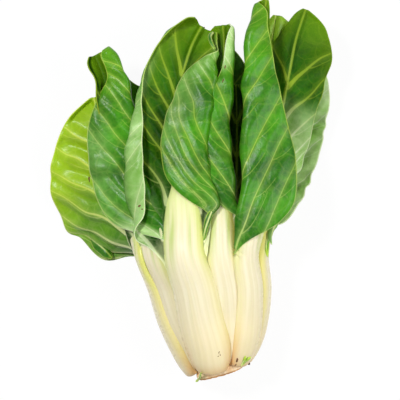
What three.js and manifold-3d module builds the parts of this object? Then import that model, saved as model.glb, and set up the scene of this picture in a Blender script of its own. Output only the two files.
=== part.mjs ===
// A head of Swiss chard, lying on its side: wide pale stalks packed in rings round a short
// cut stem, each one growing on into a green leaf. Millimetres, +Z up, +Y from the cut end
// to the leaf tips. Every leaf, stalk and blade together, is one solid.
//
// A leaf is a sheet wrapped round its midrib. The midrib is a curve in space, and facing is
// the direction that the leaf's outer side looks at, in degrees from +X towards +Z. At each
// place along the midrib a cross section runs out to both margins: first over the stalk,
// which is a thick crescent, and then over the half blade, which rises, curls and folds.
import * as THREE from 'three';
import { mergeVertices } from 'three/addons/utils/BufferGeometryUtils.js';
import Module from 'manifold-3d';

const wasm = await Module();
wasm.setup();

// ---- Driving dimensions -------------------------------------------------------------------
const BLADE_THICKNESS = 1.4;
const GAP = 0.4;                  // clearance left where one leaf presses against another
const CUT_TILT = 15.6;            // degrees that the knife cut leans away from square
const CUT_CENTRE = [-5, 0.5];     // x, y of the middle of the cut
const STEM_RADIUS = 20.5;         // the short stem that all the stalks grow from
const STEM_LENGTH = 17;
const STEM_HEIGHT = 41;           // height of the stem's axis above the table
const HEAD_SHIFT = [33, -165.3];  // puts the origin under the middle of the head's box

// Shape of the packed stalks, by distance y from the cut: radius of the outer ring, where
// its centre lies across and how high it is. The head has settled, so it is wider than tall.
const RING_RADIUS = [
  [-8, 12], [0, 16], [4.5, 21.5], [13.5, 29.5], [22.5, 34.5], [31.5, 38.8],
  [45, 44], [60, 48], [76, 51.5], [94, 54.5], [112, 58], [140, 61],
];
const RING_ACROSS = [
  [0, -6], [20, -6.5], [40, -9], [60, -12.5], [77, -14.5], [94, -18.5], [112, -23], [140, -29],
];
const RING_HEIGHT = [[0, 41], [20, 40.5], [45, 40], [60, 41], [76, 43], [94, 45.5], [112, 48.5], [140, 51]];
const RING_SQUASH = 0.25;         // how much lower than wide the ring is, from SQUASH_FULL on
const SQUASH_FULL = 60;
const LEAN_FADES = 70;            // the stalks' feet follow the tilt of the cut up to here
const STALK_ENDS = [6, 10, 16, 28, 50, 78, 108];   // y of the stalk's guide points
// The size of each ring of stalks, and how far up the stem it starts.
const RINGS = {
  outer: { size: 1, start: 0 },
  middle: { size: 0.79, start: 6 },
  inner: { size: 0.6, start: 11 },
};

// ---- The leaves ---------------------------------------------------------------------------
// Pairs are [t, value], t being the share of the leaf's length from its base. midrib points
// are [x, y, height, facing]. Each half has reach, the width of the half blade in mm; rise
// and curl, its slope from the stalk's edge and over its width, in degrees, positive towards
// the outer side; and fold, the angle that it turns through foldAt mm out, at foldRadius.
const LEAVES = [
  {
    name: 'front_leaf', ring: 'outer', angle: 105, ringScale: 1.03, halfWidth: 22, thickness: 9.5,
    neck: [[0.41, 0.8], [0.49, 0.62], [0.55, 0.3]],
    midrib: [
      [-39, 144, 84, 97], [-42, 185, 76, 93], [-43, 230, 70, 92],
      [-38, 271, 68, 90], [-30, 296, 66, 90], [-22, 312, 63, 90],
    ],
    left: {
      reach: [[0.3, 0], [0.34, 3], [0.36, 8], [0.38, 15], [0.405, 27], [0.46, 46], [0.53, 60], [0.6, 64],
        [0.67, 60], [0.78, 46], [0.87, 34], [0.95, 29], [0.985, 25], [1, 15]],
      rise: -22, curl: 50, foldRadius: 5,
      fold: [[0.36, 60], [0.5, 140], [0.7, 140], [0.85, 90], [1, 60]],
      foldAt: [[0.36, 18], [0.4, 25], [0.46, 31], [0.53, 40], [0.6, 45], [0.67, 44], [0.78, 38], [0.87, 32],
        [0.95, 22], [1, 2]],
    },
    right: {
      reach: [[0.32, 0], [0.35, 3], [0.38, 5], [0.43, 8], [0.455, 20], [0.485, 46], [0.55, 61],
        [0.63, 67], [0.73, 69], [0.79, 70], [0.845, 66], [0.87, 60], [0.9, 48], [0.925, 36],
        [0.95, 26], [1, 14]],
      rise: -12, curl: 56, foldRadius: 6,
      fold: [[0.4, 0], [0.425, 30], [0.455, 155], [0.91, 155], [0.955, 80], [1, 20]],
      foldAt: [[0.43, 7], [0.455, 14], [0.485, 21], [0.55, 22], [0.63, 24], [0.73, 28],
        [0.79, 32], [0.845, 32], [0.87, 31], [0.9, 29], [0.925, 27], [1, 22]],
    },
  },
  {
    name: 'right_front_leaf', ring: 'outer', angle: 44, ringScale: 0.97, halfWidth: 15.5, thickness: 9,
    midrib: [
      [25, 144, 80, 70], [27, 185, 78, 80], [29, 230, 76, 85],
      [31, 274, 74, 88], [33, 305, 70, 90], [35, 335, 66, 92],
    ],
    left: {
      reach: [[0.31, 0], [0.34, 10], [0.365, 20], [0.39, 32], [0.42, 46], [0.46, 57], [0.52, 61], [0.58, 62],
        [0.66, 57], [0.74, 51], [0.82, 43], [0.92, 32], [0.97, 20], [1, 2]],
      rise: 12, curl: 10, fold: 165, foldRadius: 5,
      foldAt: [[0.32, 1], [0.4, 5], [0.5, 11], [0.6, 14], [0.75, 17], [0.9, 16], [1, 8]],
    },
    right: {
      reach: [[0.38, 0], [0.41, 12], [0.5, 22], [0.65, 24], [0.8, 19], [0.9, 11], [0.96, 5], [1, 2]],
      rise: -45, curl: -30,
    },
  },
  {
    name: 'middle_leaf', ring: 'middle', angle: 70, ringScale: 1.12, halfWidth: 17, thickness: 8,
    midrib: [
      [-5, 144, 78, 85], [-4, 185, 72, 88], [-3, 230, 68, 90],
      [-2, 274, 66, 90], [-2, 298, 64, 90], [-3, 313, 62, 90],
    ],
    left: {
      reach: [[0.4, 0], [0.43, 12], [0.55, 28], [0.8, 28], [0.93, 22], [0.98, 16], [1, 7]],
      rise: -35, curl: -20,
    },
    right: {
      reach: [[0.4, 0], [0.43, 12], [0.49, 31], [0.6, 41], [0.7, 38], [0.8, 29], [0.87, 22], [0.95, 19],
        [0.985, 15], [1, 7]],
      rise: 15, curl: 30, fold: 150, foldRadius: 4,
      foldAt: [[0.4, 12], [0.5, 8], [0.6, 7.5], [0.7, 6.5], [0.85, 10], [1, 12]],
    },
  },
  {
    name: 'left_leaf', ring: 'middle', angle: 150, ringScale: 1.17, halfWidth: 19, thickness: 8,
    midrib: [
      [-72, 129, 62, 125], [-82, 157, 57, 112], [-89, 189, 55, 100], [-95, 220, 55, 95],
      [-101, 252, 56, 95], [-106, 273, 57, 95], [-113, 289, 57, 98],
    ],
    left: {
      reach: [[0.38, 0], [0.42, 10], [0.55, 13], [0.7, 13], [0.8, 16], [0.87, 18], [0.95, 17],
        [0.985, 15], [1, 11]],
      rise: [[0.5, 0], [0.75, 40], [0.9, 55], [1, 40]], curl: 0,
    },
    right: {
      reach: [[0.32, 0], [0.36, 4], [0.385, 12], [0.43, 35], [0.49, 54], [0.57, 63], [0.66, 66],
        [0.75, 64], [0.82, 57], [0.87, 48], [0.92, 36], [0.96, 27], [0.985, 20], [1, 13]],
      rise: 10, curl: 10, fold: 165, foldRadius: 4.5,
      foldAt: [[0.36, 12], [0.5, 14], [0.75, 17], [0.9, 18], [0.95, 15], [1, 9]],
    },
  },
  {
    name: 'outer_left_leaf', colour: '#7fae45', ring: 'outer', angle: 176, ringScale: 0.98,
    halfWidth: 18.5, thickness: 8.5, bladeFrom: 0.4,
    midrib: [
      [-90, 142, 44, 122], [-99, 168, 42, 106], [-105, 192, 41, 98],
      [-112, 222, 42, 94], [-119, 250, 44, 92],
    ],
    left: {
      reach: [[0.43, 0], [0.465, 12], [0.473, 42], [0.481, 60], [0.5, 62], [0.53, 63], [0.62, 68], [0.75, 62],
        [0.88, 44], [0.96, 25], [1, 4]],
      rise: -8, curl: -6,
    },
    right: {
      reach: [[0.46, 0], [0.5, 14], [0.57, 27], [0.8, 30], [0.93, 20], [1, 3]],
      rise: -30, curl: -20,
    },
  },
  {
    name: 'upper_right_leaf', ring: 'outer', angle: 6, ringScale: 0.97, halfWidth: 18, thickness: 8,
    midrib: [
      [40, 144, 56, 25], [41, 170, 56, 50], [44, 205, 57, 70], [50, 240, 58, 80],
      [57, 275, 58, 85], [62, 300, 57, 88], [71, 328, 54, 90],
    ],
    left: {
      reach: [[0.4, 0], [0.45, 14], [0.6, 26], [0.75, 28], [0.88, 25], [0.95, 17], [0.98, 10], [1, 2]],
      rise: -10, curl: -60,
    },
    right: {
      reach: [[0.4, 0], [0.44, 20], [0.5, 30], [0.6, 36], [0.72, 33], [0.8, 36], [0.88, 37], [0.95, 28],
        [0.98, 18], [1, 2]],
      rise: -8, curl: -16,
    },
  },
  {
    name: 'outer_right_leaf', ring: 'outer', angle: -46, halfWidth: 18.5, thickness: 8.5,
    midrib: [
      [32, 135, 11.5, -62], [46, 165, 3.5, -72], [58, 200, 2, -80],
      [68, 235, 8.5, -84], [76, 262, 16, -86], [84, 286, 22, -88],
    ],
    left: {
      reach: [[0.44, 0], [0.47, 12], [0.55, 22], [0.7, 27], [0.85, 24], [0.95, 14], [1, 2]],
      rise: -4, curl: -8,
    },
    right: {
      reach: [[0.42, 0], [0.45, 12], [0.55, 24], [0.7, 32], [0.85, 30], [0.95, 16], [1, 2]],
      rise: -4, curl: -6,
    },
  },
  {
    name: 'under_middle_leaf', ring: 'outer', angle: -90, halfWidth: 18.5, thickness: 8.5,
    midrib: [
      [-22, 144, 9, -90], [-18, 185, 12, -90], [-10, 230, 20, -90],
      [-4, 270, 28, -90], [0, 300, 34, -90],
    ],
    left: {
      reach: [[0.38, 0], [0.42, 18], [0.55, 36], [0.7, 42], [0.85, 34], [0.95, 18], [1, 2]],
      rise: -12, curl: -12,
    },
    right: {
      reach: [[0.38, 0], [0.42, 18], [0.55, 30], [0.7, 36], [0.85, 30], [0.95, 18], [1, 2]],
      rise: -12, curl: -10,
    },
  },
  {
    name: 'under_left_leaf', ring: 'outer', angle: -134, halfWidth: 18.5, thickness: 8.5,
    midrib: [
      [-62, 144, 4, -108], [-72, 180, 0.5, -100], [-80, 215, 6, -95],
      [-86, 245, 15, -92], [-92, 268, 23, -90],
    ],
    left: {
      reach: [[0.42, 0], [0.45, 18], [0.55, 26], [0.7, 30], [0.85, 28], [0.95, 16], [1, 2]],
      rise: -8, curl: -10,
    },
    right: {
      reach: [[0.42, 0], [0.45, 14], [0.55, 34], [0.7, 40], [0.85, 32], [0.95, 18], [1, 2]],
      rise: -4, curl: -10,
    },
  },
  {
    name: 'back_right_leaf', ring: 'middle', angle: -12, halfWidth: 15, thickness: 7,
    midrib: [
      [25, 144, 38, -50], [33, 180, 36, -75], [39, 225, 37, -85],
      [40, 270, 40, -90], [41, 300, 42, -90], [45, 324, 43, -90],
    ],
    left: {
      reach: [[0.42, 0], [0.45, 12], [0.55, 22], [0.7, 24], [0.85, 24], [0.95, 20], [0.985, 15], [1, 6]],
      rise: 6, curl: 20,
    },
    right: {
      reach: [[0.42, 0], [0.45, 10], [0.55, 18], [0.7, 20], [0.85, 20], [0.95, 12], [1, 2]],
      rise: 6, curl: 10,
    },
  },
  {
    name: 'heart_leaf_upper', ring: 'inner', angle: 72, halfWidth: 12, thickness: 6,
    midrib: [[6, 135, 58, 90], [9, 165, 44, 92], [10, 200, 36, 94], [10, 235, 36, 96], [9, 262, 38, 98]],
    left: {
      reach: [[0.42, 0], [0.46, 12], [0.6, 24], [0.8, 24], [0.93, 14], [1, 2]],
      rise: -30, curl: -40,
    },
    right: {
      reach: [[0.42, 0], [0.46, 8], [0.6, 12], [0.8, 14], [0.93, 9], [1, 2]],
      rise: -20, curl: -40,
    },
  },
  {
    name: 'heart_leaf_left', ring: 'inner', angle: 195, halfWidth: 12, thickness: 6,
    midrib: [[-50, 130, 50, 170], [-52, 160, 50, 150], [-50, 195, 48, 130], [-48, 225, 46, 120]],
    left: {
      reach: [[0.42, 0], [0.46, 12], [0.6, 22], [0.8, 22], [0.93, 14], [1, 2]],
      rise: -20, curl: -60,
    },
    right: {
      reach: [[0.42, 0], [0.46, 12], [0.6, 22], [0.8, 22], [0.93, 14], [1, 2]],
      rise: -20, curl: -60,
    },
  },
  {
    name: 'heart_leaf_lower', ring: 'inner', angle: -60, halfWidth: 12, thickness: 6,
    midrib: [[-8, 130, 28, -70], [-10, 160, 34, -75], [-8, 190, 40, -80], [-6, 215, 42, -85]],
    left: {
      reach: [[0.42, 0], [0.46, 12], [0.6, 18], [0.8, 18], [0.93, 12], [1, 2]],
      rise: -20, curl: -50,
    },
    right: {
      reach: [[0.42, 0], [0.46, 12], [0.6, 18], [0.8, 18], [0.93, 12], [1, 2]],
      rise: -20, curl: -50,
    },
  },
];

// The side sprouts at the foot of the head: x, y, height of the foot and of each leaflet's tip.
const SPROUTS = [
  { name: 'sprout_right', foot: [13, 10, 63.5], tips: [[17, 20, 68.5], [21.5, 18, 65.5]], width: 2.8 },
  { name: 'sprout_left', foot: [-24.5, -3, 50], tips: [[-22.5, 5, 73], [-27, -3.5, 61]], width: 2.8 },
];
const SPROUT_PROFILE = [[0, 0], [0.4, 0.1], [0.5, 0.5], [0.3, 0.85], [0, 1]];   // shares of width, length
const UP = new THREE.Vector3(0, 1, 0);

// Stations along a leaf, and how far out over the stalk and an unfolded half blade to sample.
const STATIONS = [0, 0.04, 0.1, 0.2, 0.31, 0.38, 0.42, 0.46, 0.52, 0.6, 0.69, 0.78, 0.87, 0.94, 1];
const FLAT_SHARES = [0.3, 0.65, 1];
const STALK_SHARE = 0.7;
const SECTION_STEPS = 40;
const STALK_OUTER_SHARE = 0.75;   // share of the stalk's thickness on its outer side
const STALK_ROUNDNESS = 0.42;     // under 1 makes the stalk's back flatter and its sides rounder

// ---- Curves through hand-set points -------------------------------------------------------
const radians = (degrees) => (degrees * Math.PI) / 180;
const mix = (a, b, share) => a + (b - a) * share;

function smooth(x) {
  const share = Math.min(Math.max(x, 0), 1);
  return share * share * (3 - 2 * share);
}

// A cubic through [t, a, b, ...] rows. With level set it never overshoots between them.
function through(rows, t, level = false) {
  const last = rows.length - 1;
  const at = Math.min(Math.max(t, rows[0][0]), rows[last][0]);
  let k = 0;
  while (k < last - 1 && at >= rows[k + 1][0]) k += 1;
  const slope = (i, c) => (rows[i + 1][c] - rows[i][c]) / (rows[i + 1][0] - rows[i][0]);
  const tangent = (i, c) => {
    if (i === 0) return slope(0, c);
    if (i === last) return slope(last - 1, c);
    const before = rows[i][0] - rows[i - 1][0];
    const after = rows[i + 1][0] - rows[i][0];
    const [s0, s1] = [slope(i - 1, c), slope(i, c)];
    const m = (s0 * after + s1 * before) / (before + after);
    if (!level) return m;
    if (s0 * s1 <= 0) return 0;
    return Math.sign(m) * Math.min(Math.abs(m), 2 * Math.min(Math.abs(s0), Math.abs(s1)));
  };
  const span = rows[k + 1][0] - rows[k][0];
  const u = (at - rows[k][0]) / span;
  return rows[k].slice(1).map((value, i) => {
    const c = i + 1;
    return (2 * u ** 3 - 3 * u ** 2 + 1) * value + (u ** 3 - 2 * u ** 2 + u) * span * tangent(k, c)
      + (3 * u ** 2 - 2 * u ** 3) * rows[k + 1][c] + (u ** 3 - u ** 2) * span * tangent(k + 1, c);
  });
}

// A profile is one number, or [t, value] pairs.
const along = (profile, t) => (Array.isArray(profile) ? through(profile, t, true)[0] : profile);

// ---- One leaf -----------------------------------------------------------------------------
// Guide points of the midrib: up the ring of stalks, then the leaf's own points.
function midribTable(leaf) {
  const { size, start } = RINGS[leaf.ring];
  const angle = radians(leaf.angle);
  const points = STALK_ENDS.map((end) => {
    const y = end + start * Math.max(0, 1 - end / SQUASH_FULL);
    const wide = (leaf.ringScale ?? 1) * size * along(RING_RADIUS, y - start);
    const high = wide * (1 - RING_SQUASH * smooth(y / SQUASH_FULL));
    const across = wide * Math.cos(angle);
    const facing = THREE.MathUtils.radToDeg(Math.atan2(Math.sin(angle) / high, Math.cos(angle) / wide));
    const turns = 360 * Math.round((leaf.angle - facing) / 360);
    const lean = Math.tan(radians(CUT_TILT)) * across * Math.max(0, 1 - y / LEAN_FADES);
    return [
      along(RING_ACROSS, y) + across, y + lean,
      along(RING_HEIGHT, y) + high * Math.sin(angle), facing + turns,
    ];
  }).concat(leaf.midrib);
  const lengths = [0];
  for (let i = 1; i < points.length; i += 1) {
    const [a, b] = [points[i - 1], points[i]];
    lengths.push(lengths[i - 1] + Math.hypot(b[0] - a[0], b[1] - a[1], b[2] - a[2]));
  }
  const total = lengths[lengths.length - 1];
  return points.map((point, i) => [lengths[i] / total, ...point]);
}

// The frame at one station: a point of the midrib, outward to the leaf's outer side, and
// sideways to its right margin.
function frameAt(table, t) {
  const step = 1e-3;
  const [x, y, z, facing] = through(table, t);
  const ahead = new THREE.Vector3(...through(table, t + step));
  const forward = ahead.sub(new THREE.Vector3(...through(table, t - step))).normalize();
  const outward = new THREE.Vector3(Math.cos(radians(facing)), 0, Math.sin(radians(facing)));
  outward.addScaledVector(forward, -outward.dot(forward)).normalize();
  const sideways = new THREE.Vector3().crossVectors(forward, outward);
  return { point: new THREE.Vector3(x, y, z), outward, sideways };
}

// Half width of the stalk, its thickness and the radius that it wraps round, at t.
function stalkAt(leaf, t) {
  const from = leaf.bladeFrom ?? 0.36;
  const neck = leaf.neck ?? [[from + 0.05, 0.74], [from + 0.13, 0.38]];
  const narrowing = [
    [0, 0.62], [0.05, 0.9], [0.1, 1], [0.2, 0.95], [from, 0.82], ...neck,
    [0.62, 0.15], [0.75, 0.06], [1, 0.015],
  ];
  const thinning = [[0, 0.9], [0.1, 1], [from, 0.8], [from + 0.12, 0.45], [0.8, 0.15], [1, 0.06]];
  return {
    half: leaf.halfWidth * along(narrowing, t),
    thick: leaf.thickness * along(thinning, t),
    wrap: along([[0, 22], [0.15, 30], [0.35, 40], [0.6, 60]], t),
  };
}

// The half blade's cross section from the stalk's edge to the margin, as [out, up] points.
function halfSection(half, stalk, t) {
  const reach = (t < half.reach[0][0] ? 0 : along(half.reach, t)) + 0.3;
  const fold = radians(along(half.fold ?? 0, t));
  const foldAt = along(half.foldAt ?? 30, t);
  const bend = Math.max((half.foldRadius ?? 4) * Math.abs(fold), 2);
  const rise = radians(along(half.rise, t));
  const curl = radians(along(half.curl, t));
  const slope = (s) => -stalk.half / stalk.wrap + rise * smooth(s / 6)
    + curl * (s / reach) + fold * smooth((s - foldAt) / bend + 0.5);
  const step = reach / SECTION_STEPS;
  const edge = stalk.half / stalk.wrap;
  const points = [[stalk.wrap * Math.sin(edge), stalk.wrap * (Math.cos(edge) - 1)]];
  for (let i = 0; i < SECTION_STEPS; i += 1) {
    const middle = slope((i + 0.5) * step);
    const [out, up] = points[i];
    points.push([out + step * Math.cos(middle), up + step * Math.sin(middle)]);
  }
  return { reach, foldAt, bend, folded: half.fold !== undefined, points };
}

// How far from the midrib each column of the half is, growing outwards. Columns crowd at a
// fold, and close up over the stalk where there is no blade yet.
function columnDistances(section, stalk) {
  const { reach, foldAt, bend, folded } = section;
  const before = foldAt - bend / 2;
  const past = foldAt + bend / 2;
  const blade = folded
    ? [foldAt / 2, before, mix(before, past, 1 / 3), mix(before, past, 2 / 3), past,
      (past + reach) / 2, reach]
    : FLAT_SHARES.map((share) => reach * share);
  const count = blade.length;
  const room = reach / (count + 1);
  const spaced = [];
  blade.forEach((s, i) => {
    const lowest = i === 0 ? room * 0.2 : spaced[i - 1] + room * 0.2;
    spaced.push(Math.min(Math.max(s, lowest), reach - (count - 1 - i) * room * 0.2));
  });
  const opened = smooth(reach / 8);
  return [
    mix(stalk.half / (count + 1), stalk.half * STALK_SHARE, opened),
    ...spaced.map((s, i) => mix(((i + 2) * (stalk.half + reach)) / (count + 1), stalk.half + s, opened)),
  ];
}

// The point of the cross section at a distance from the midrib, as [out, up].
function sectionPoint(section, stalk, distance) {
  if (distance <= stalk.half) {
    const turn = distance / stalk.wrap;
    return [stalk.wrap * Math.sin(turn), stalk.wrap * (Math.cos(turn) - 1)];
  }
  const place = Math.min((distance - stalk.half) / section.reach, 1) * SECTION_STEPS;
  const i = Math.min(Math.floor(place), SECTION_STEPS - 1);
  const [a, b] = [section.points[i], section.points[i + 1]];
  return [mix(a[0], b[0], place - i), mix(a[1], b[1], place - i)];
}

// A closed solid of one leaf. extra thickens it and widens it all round.
function leafSolid(leaf, extra = 0) {
  const table = midribTable(leaf);
  const rows = STATIONS.map((t) => {
    const stalk = stalkAt(leaf, t);
    const { point, outward, sideways } = frameAt(table, t);
    const place = (side, section, distance) => {
      const [out, up] = sectionPoint(section, stalk, distance);
      const spot = point.clone().addScaledVector(sideways, side * out).addScaledVector(outward, up);
      const bulge = Math.max(stalk.thick - BLADE_THICKNESS, 0)
        * Math.max(1 - (distance / stalk.half) ** 2, 0) ** STALK_ROUNDNESS;
      return { spot, bulge };
    };
    const half = (side, shape) => {
      const section = halfSection(shape, stalk, t);
      return columnDistances(section, stalk).map((distance) => place(side, section, distance));
    };
    const left = half(-1, leaf.left).reverse();
    const centre = place(1, halfSection(leaf.right, stalk, t), 0);
    return [...left, centre, ...half(1, leaf.right)];
  });
  return sheetSolid(rows, extra);
}

// Turns rows of mid-surface points into a closed solid with an outer and an inner side.
function sheetSolid(rows, extra) {
  const [m, n] = [rows.length, rows[0].length];
  const spot = (i, j) => rows[Math.min(Math.max(i, 0), m - 1)][Math.min(Math.max(j, 0), n - 1)].spot;
  const positions = [];
  for (const side of [1, -1]) {
    for (let i = 0; i < m; i += 1) {
      for (let j = 0; j < n; j += 1) {
        const across = spot(i, j + 1).clone().sub(spot(i, j - 1)).normalize();
        const forward = spot(i + 1, j).clone().sub(spot(i - 1, j)).normalize();
        const outward = across.clone().cross(forward).normalize();
        const share = side > 0 ? STALK_OUTER_SHARE : 1 - STALK_OUTER_SHARE;
        const depth = BLADE_THICKNESS / 2 + rows[i][j].bulge * share + extra;
        const edge = (j === n - 1 ? extra : 0) - (j === 0 ? extra : 0);
        const tip = (i === m - 1 ? extra : 0) - (i === 0 ? extra : 0);
        const p = spot(i, j).clone().addScaledVector(outward, side * depth);
        p.addScaledVector(across, edge).addScaledVector(forward, tip);
        positions.push(p.x, p.y, p.z);
      }
    }
  }
  const at = (side, i, j) => (side * m + i) * n + j;
  const faces = [];
  const quad = (a, b, c, d) => faces.push(a, b, c, a, c, d);
  for (let i = 0; i < m - 1; i += 1) {
    for (let j = 0; j < n - 1; j += 1) {
      quad(at(0, i, j), at(0, i, j + 1), at(0, i + 1, j + 1), at(0, i + 1, j));
      quad(at(1, i, j), at(1, i + 1, j), at(1, i + 1, j + 1), at(1, i, j + 1));
    }
    quad(at(0, i, 0), at(0, i + 1, 0), at(1, i + 1, 0), at(1, i, 0));
    quad(at(0, i, n - 1), at(1, i, n - 1), at(1, i + 1, n - 1), at(0, i + 1, n - 1));
  }
  for (let j = 0; j < n - 1; j += 1) {
    quad(at(0, 0, j), at(1, 0, j), at(1, 0, j + 1), at(0, 0, j + 1));
    quad(at(0, m - 1, j), at(0, m - 1, j + 1), at(1, m - 1, j + 1), at(1, m - 1, j));
  }
  return new wasm.Manifold(new wasm.Mesh({
    numProp: 3, vertProperties: new Float32Array(positions), triVerts: new Uint32Array(faces),
  }));
}

// ---- The stem, the sprouts and the cuts ---------------------------------------------------
// A manifold-3d solid from a three.js geometry: its positions, with shared corners merged.
function solidFrom(geometry) {
  const plain = geometry.clone();
  plain.deleteAttribute('normal');
  plain.deleteAttribute('uv');
  const merged = mergeVertices(plain, 1e-4);
  return new wasm.Manifold(new wasm.Mesh({
    numProp: 3,
    vertProperties: new Float32Array(merged.attributes.position.array),
    triVerts: new Uint32Array(merged.index.array),
  }));
}

const largestPiece = (solid) => solid.decompose().reduce((a, b) => (b.volume() > a.volume() ? b : a));

// Everything on the root side of the knife cut, and everything below the table.
const WASTE = 400;
function cutAway() {
  const root = new THREE.BoxGeometry(WASTE, WASTE, WASTE);
  root.translate(0, -WASTE / 2, 0);
  root.rotateZ(radians(CUT_TILT));
  root.translate(CUT_CENTRE[0], CUT_CENTRE[1], 0);
  const table = new THREE.BoxGeometry(2 * WASTE, 2 * WASTE, WASTE);
  table.translate(0, WASTE / 4, -WASTE / 2);
  return solidFrom(root).add(solidFrom(table));
}

// The short stem: a domed plug in the middle of the stalks, ending at the knife cut.
function stemSolid(extra = 0) {
  const profile = [
    [0, -4], [STEM_RADIUS - 1 + extra, -4], [STEM_RADIUS + extra, 2], [STEM_RADIUS - 1 + extra, 7],
    [STEM_RADIUS * 0.72 + extra, STEM_LENGTH * 0.75 + extra], [0, STEM_LENGTH + extra],
  ].map(([radius, height]) => new THREE.Vector2(radius, height));
  const stem = new THREE.LatheGeometry(profile, 20);
  stem.rotateZ(radians(CUT_TILT));
  stem.translate(CUT_CENTRE[0], CUT_CENTRE[1], STEM_HEIGHT);
  return solidFrom(stem);
}

// A side sprout: two leaflets on one foot, each a flattened spindle.
function sproutSolid({ foot, tips, width }) {
  const start = new THREE.Vector3(...foot);
  const leaflets = tips.map((tip) => {
    const stretch = new THREE.Vector3(...tip).sub(start);
    const length = stretch.length();
    const profile = SPROUT_PROFILE.map(([wide, high]) => new THREE.Vector2(width * wide, length * high));
    const leaflet = new THREE.LatheGeometry(profile, 8);
    leaflet.applyQuaternion(new THREE.Quaternion().setFromUnitVectors(UP, stretch.normalize()));
    leaflet.translate(...foot);
    return solidFrom(leaflet);
  });
  return leaflets.reduce((a, b) => a.add(b));
}

// ---- Assembly -----------------------------------------------------------------------------
const LEAF_GREEN = '#4a8a35';
const STEM_TAN = '#d3ab78';
const SPROUT_GREEN = '#8fb52e';

// Each piece gives way to the ones before it, with the clearance that grown adds round them.
const waste = cutAway();
const pieces = [];
function addPiece(name, solid, grown, colour, roughness) {
  let shape = solid.subtract(waste);
  for (const earlier of pieces) shape = shape.subtract(earlier.grown);
  pieces.push({ name, solid: largestPiece(shape), grown, colour, roughness });
}

addPiece('stem', stemSolid(), stemSolid(GAP), STEM_TAN, 0.8);
for (const leaf of LEAVES) {
  addPiece(leaf.name, leafSolid(leaf), leafSolid(leaf, GAP), leaf.colour ?? LEAF_GREEN, 0.45);
}
for (const sprout of SPROUTS) {
  const solid = sproutSolid(sprout);
  addPiece(sprout.name, solid, solid, SPROUT_GREEN, 0.5);
}

const head = new THREE.Group();
for (const { name, solid, colour, roughness } of pieces) {
  const { vertProperties, triVerts } = solid.getMesh();
  const geometry = new THREE.BufferGeometry();
  geometry.setAttribute('position', new THREE.BufferAttribute(vertProperties, 3));
  geometry.setIndex(new THREE.BufferAttribute(triVerts, 1));
  const material = new THREE.MeshStandardMaterial({ color: colour, roughness, metalness: 0 });
  const mesh = new THREE.Mesh(geometry, material);
  mesh.name = name;
  mesh.position.set(HEAD_SHIFT[0], HEAD_SHIFT[1], 0);
  head.add(mesh);
}

export default head;
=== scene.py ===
# A head of Swiss chard lying on its side: wide pale stalks packed round a short cut stem,
# each one growing on into a green leaf. Lengths are millimetres until a mesh is made.
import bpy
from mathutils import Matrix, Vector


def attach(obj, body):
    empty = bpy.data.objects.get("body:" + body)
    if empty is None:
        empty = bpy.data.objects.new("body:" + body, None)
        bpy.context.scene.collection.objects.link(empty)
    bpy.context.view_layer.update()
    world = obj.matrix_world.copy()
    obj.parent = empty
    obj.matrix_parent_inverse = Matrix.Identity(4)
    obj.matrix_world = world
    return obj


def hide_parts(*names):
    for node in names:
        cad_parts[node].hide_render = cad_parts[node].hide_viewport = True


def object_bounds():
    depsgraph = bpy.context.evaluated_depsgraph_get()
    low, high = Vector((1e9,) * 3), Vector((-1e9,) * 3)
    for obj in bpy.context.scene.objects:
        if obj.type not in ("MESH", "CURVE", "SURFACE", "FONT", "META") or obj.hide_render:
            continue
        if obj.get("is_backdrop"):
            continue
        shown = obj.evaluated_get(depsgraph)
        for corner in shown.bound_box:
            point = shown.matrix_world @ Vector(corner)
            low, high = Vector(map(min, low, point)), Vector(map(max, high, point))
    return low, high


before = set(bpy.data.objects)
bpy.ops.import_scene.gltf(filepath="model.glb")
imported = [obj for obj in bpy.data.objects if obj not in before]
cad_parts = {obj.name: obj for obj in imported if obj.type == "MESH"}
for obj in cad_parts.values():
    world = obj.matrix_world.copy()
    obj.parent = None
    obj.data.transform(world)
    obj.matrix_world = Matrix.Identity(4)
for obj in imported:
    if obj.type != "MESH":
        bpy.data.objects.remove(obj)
cad_box = [list(corner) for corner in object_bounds()]

import math
from functools import partial

import bmesh
import bpy
import numpy as np
from mathutils import Vector
from mathutils.bvhtree import BVHTree

MM = 0.001

# ---- Driving dimensions, as in the CAD model ----------------------------------------------
CUT_TILT = 15.6              # degrees that the knife cut leans away from square
CUT_CENTRE = (-5, 0.5)
STEM_HEIGHT = 41
HEAD_SHIFT = np.array([33, -165.3, 0])   # brings the middle of the head over the origin

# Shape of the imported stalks, by distance y from the cut.
RING_RADIUS = [
    [-8, 12], [0, 16], [4.5, 21.5], [13.5, 29.5], [22.5, 34.5], [31.5, 38.8],
    [45, 44], [60, 48], [76, 51.5], [94, 54.5], [112, 58], [140, 61],
]
RING_ACROSS = [
    [0, -6], [20, -6.5], [40, -9], [60, -12.5], [77, -14.5], [94, -18.5], [112, -23], [140, -29],
]
RING_HEIGHT = [[0, 41], [20, 40.5], [45, 40], [60, 41], [76, 43], [94, 45.5], [112, 48.5], [140, 51]]
RING_SQUASH = 0.25           # share of its height that the head loses by lying down
SQUASH_FULL = 60             # from the cut to where it has lost it all
LEAN_FADES = 70              # from the cut to where the stalks no longer follow its tilt
STALK_ENDS = [6, 10, 16, 28, 50, 78, 108]                            # guide places up the ring
RINGS = {"outer": (1, 0), "middle": (0.79, 6), "inner": (0.6, 11)}   # size, start
BLADE_STARTS = 0.36          # share of a leaf's length, where it has no blade_from of its own
NO_FOLD = dict(fold=0, fold_at=30, fold_radius=4)
LEAST_REACH = 0.3            # blade that even the bare stalk has, so that every row has its points
LEAST_BEND = 2               # of blade that the slightest fold takes
SLOPE_EASES = 6              # from the stalk's edge to where the half blade has its slope

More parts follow.
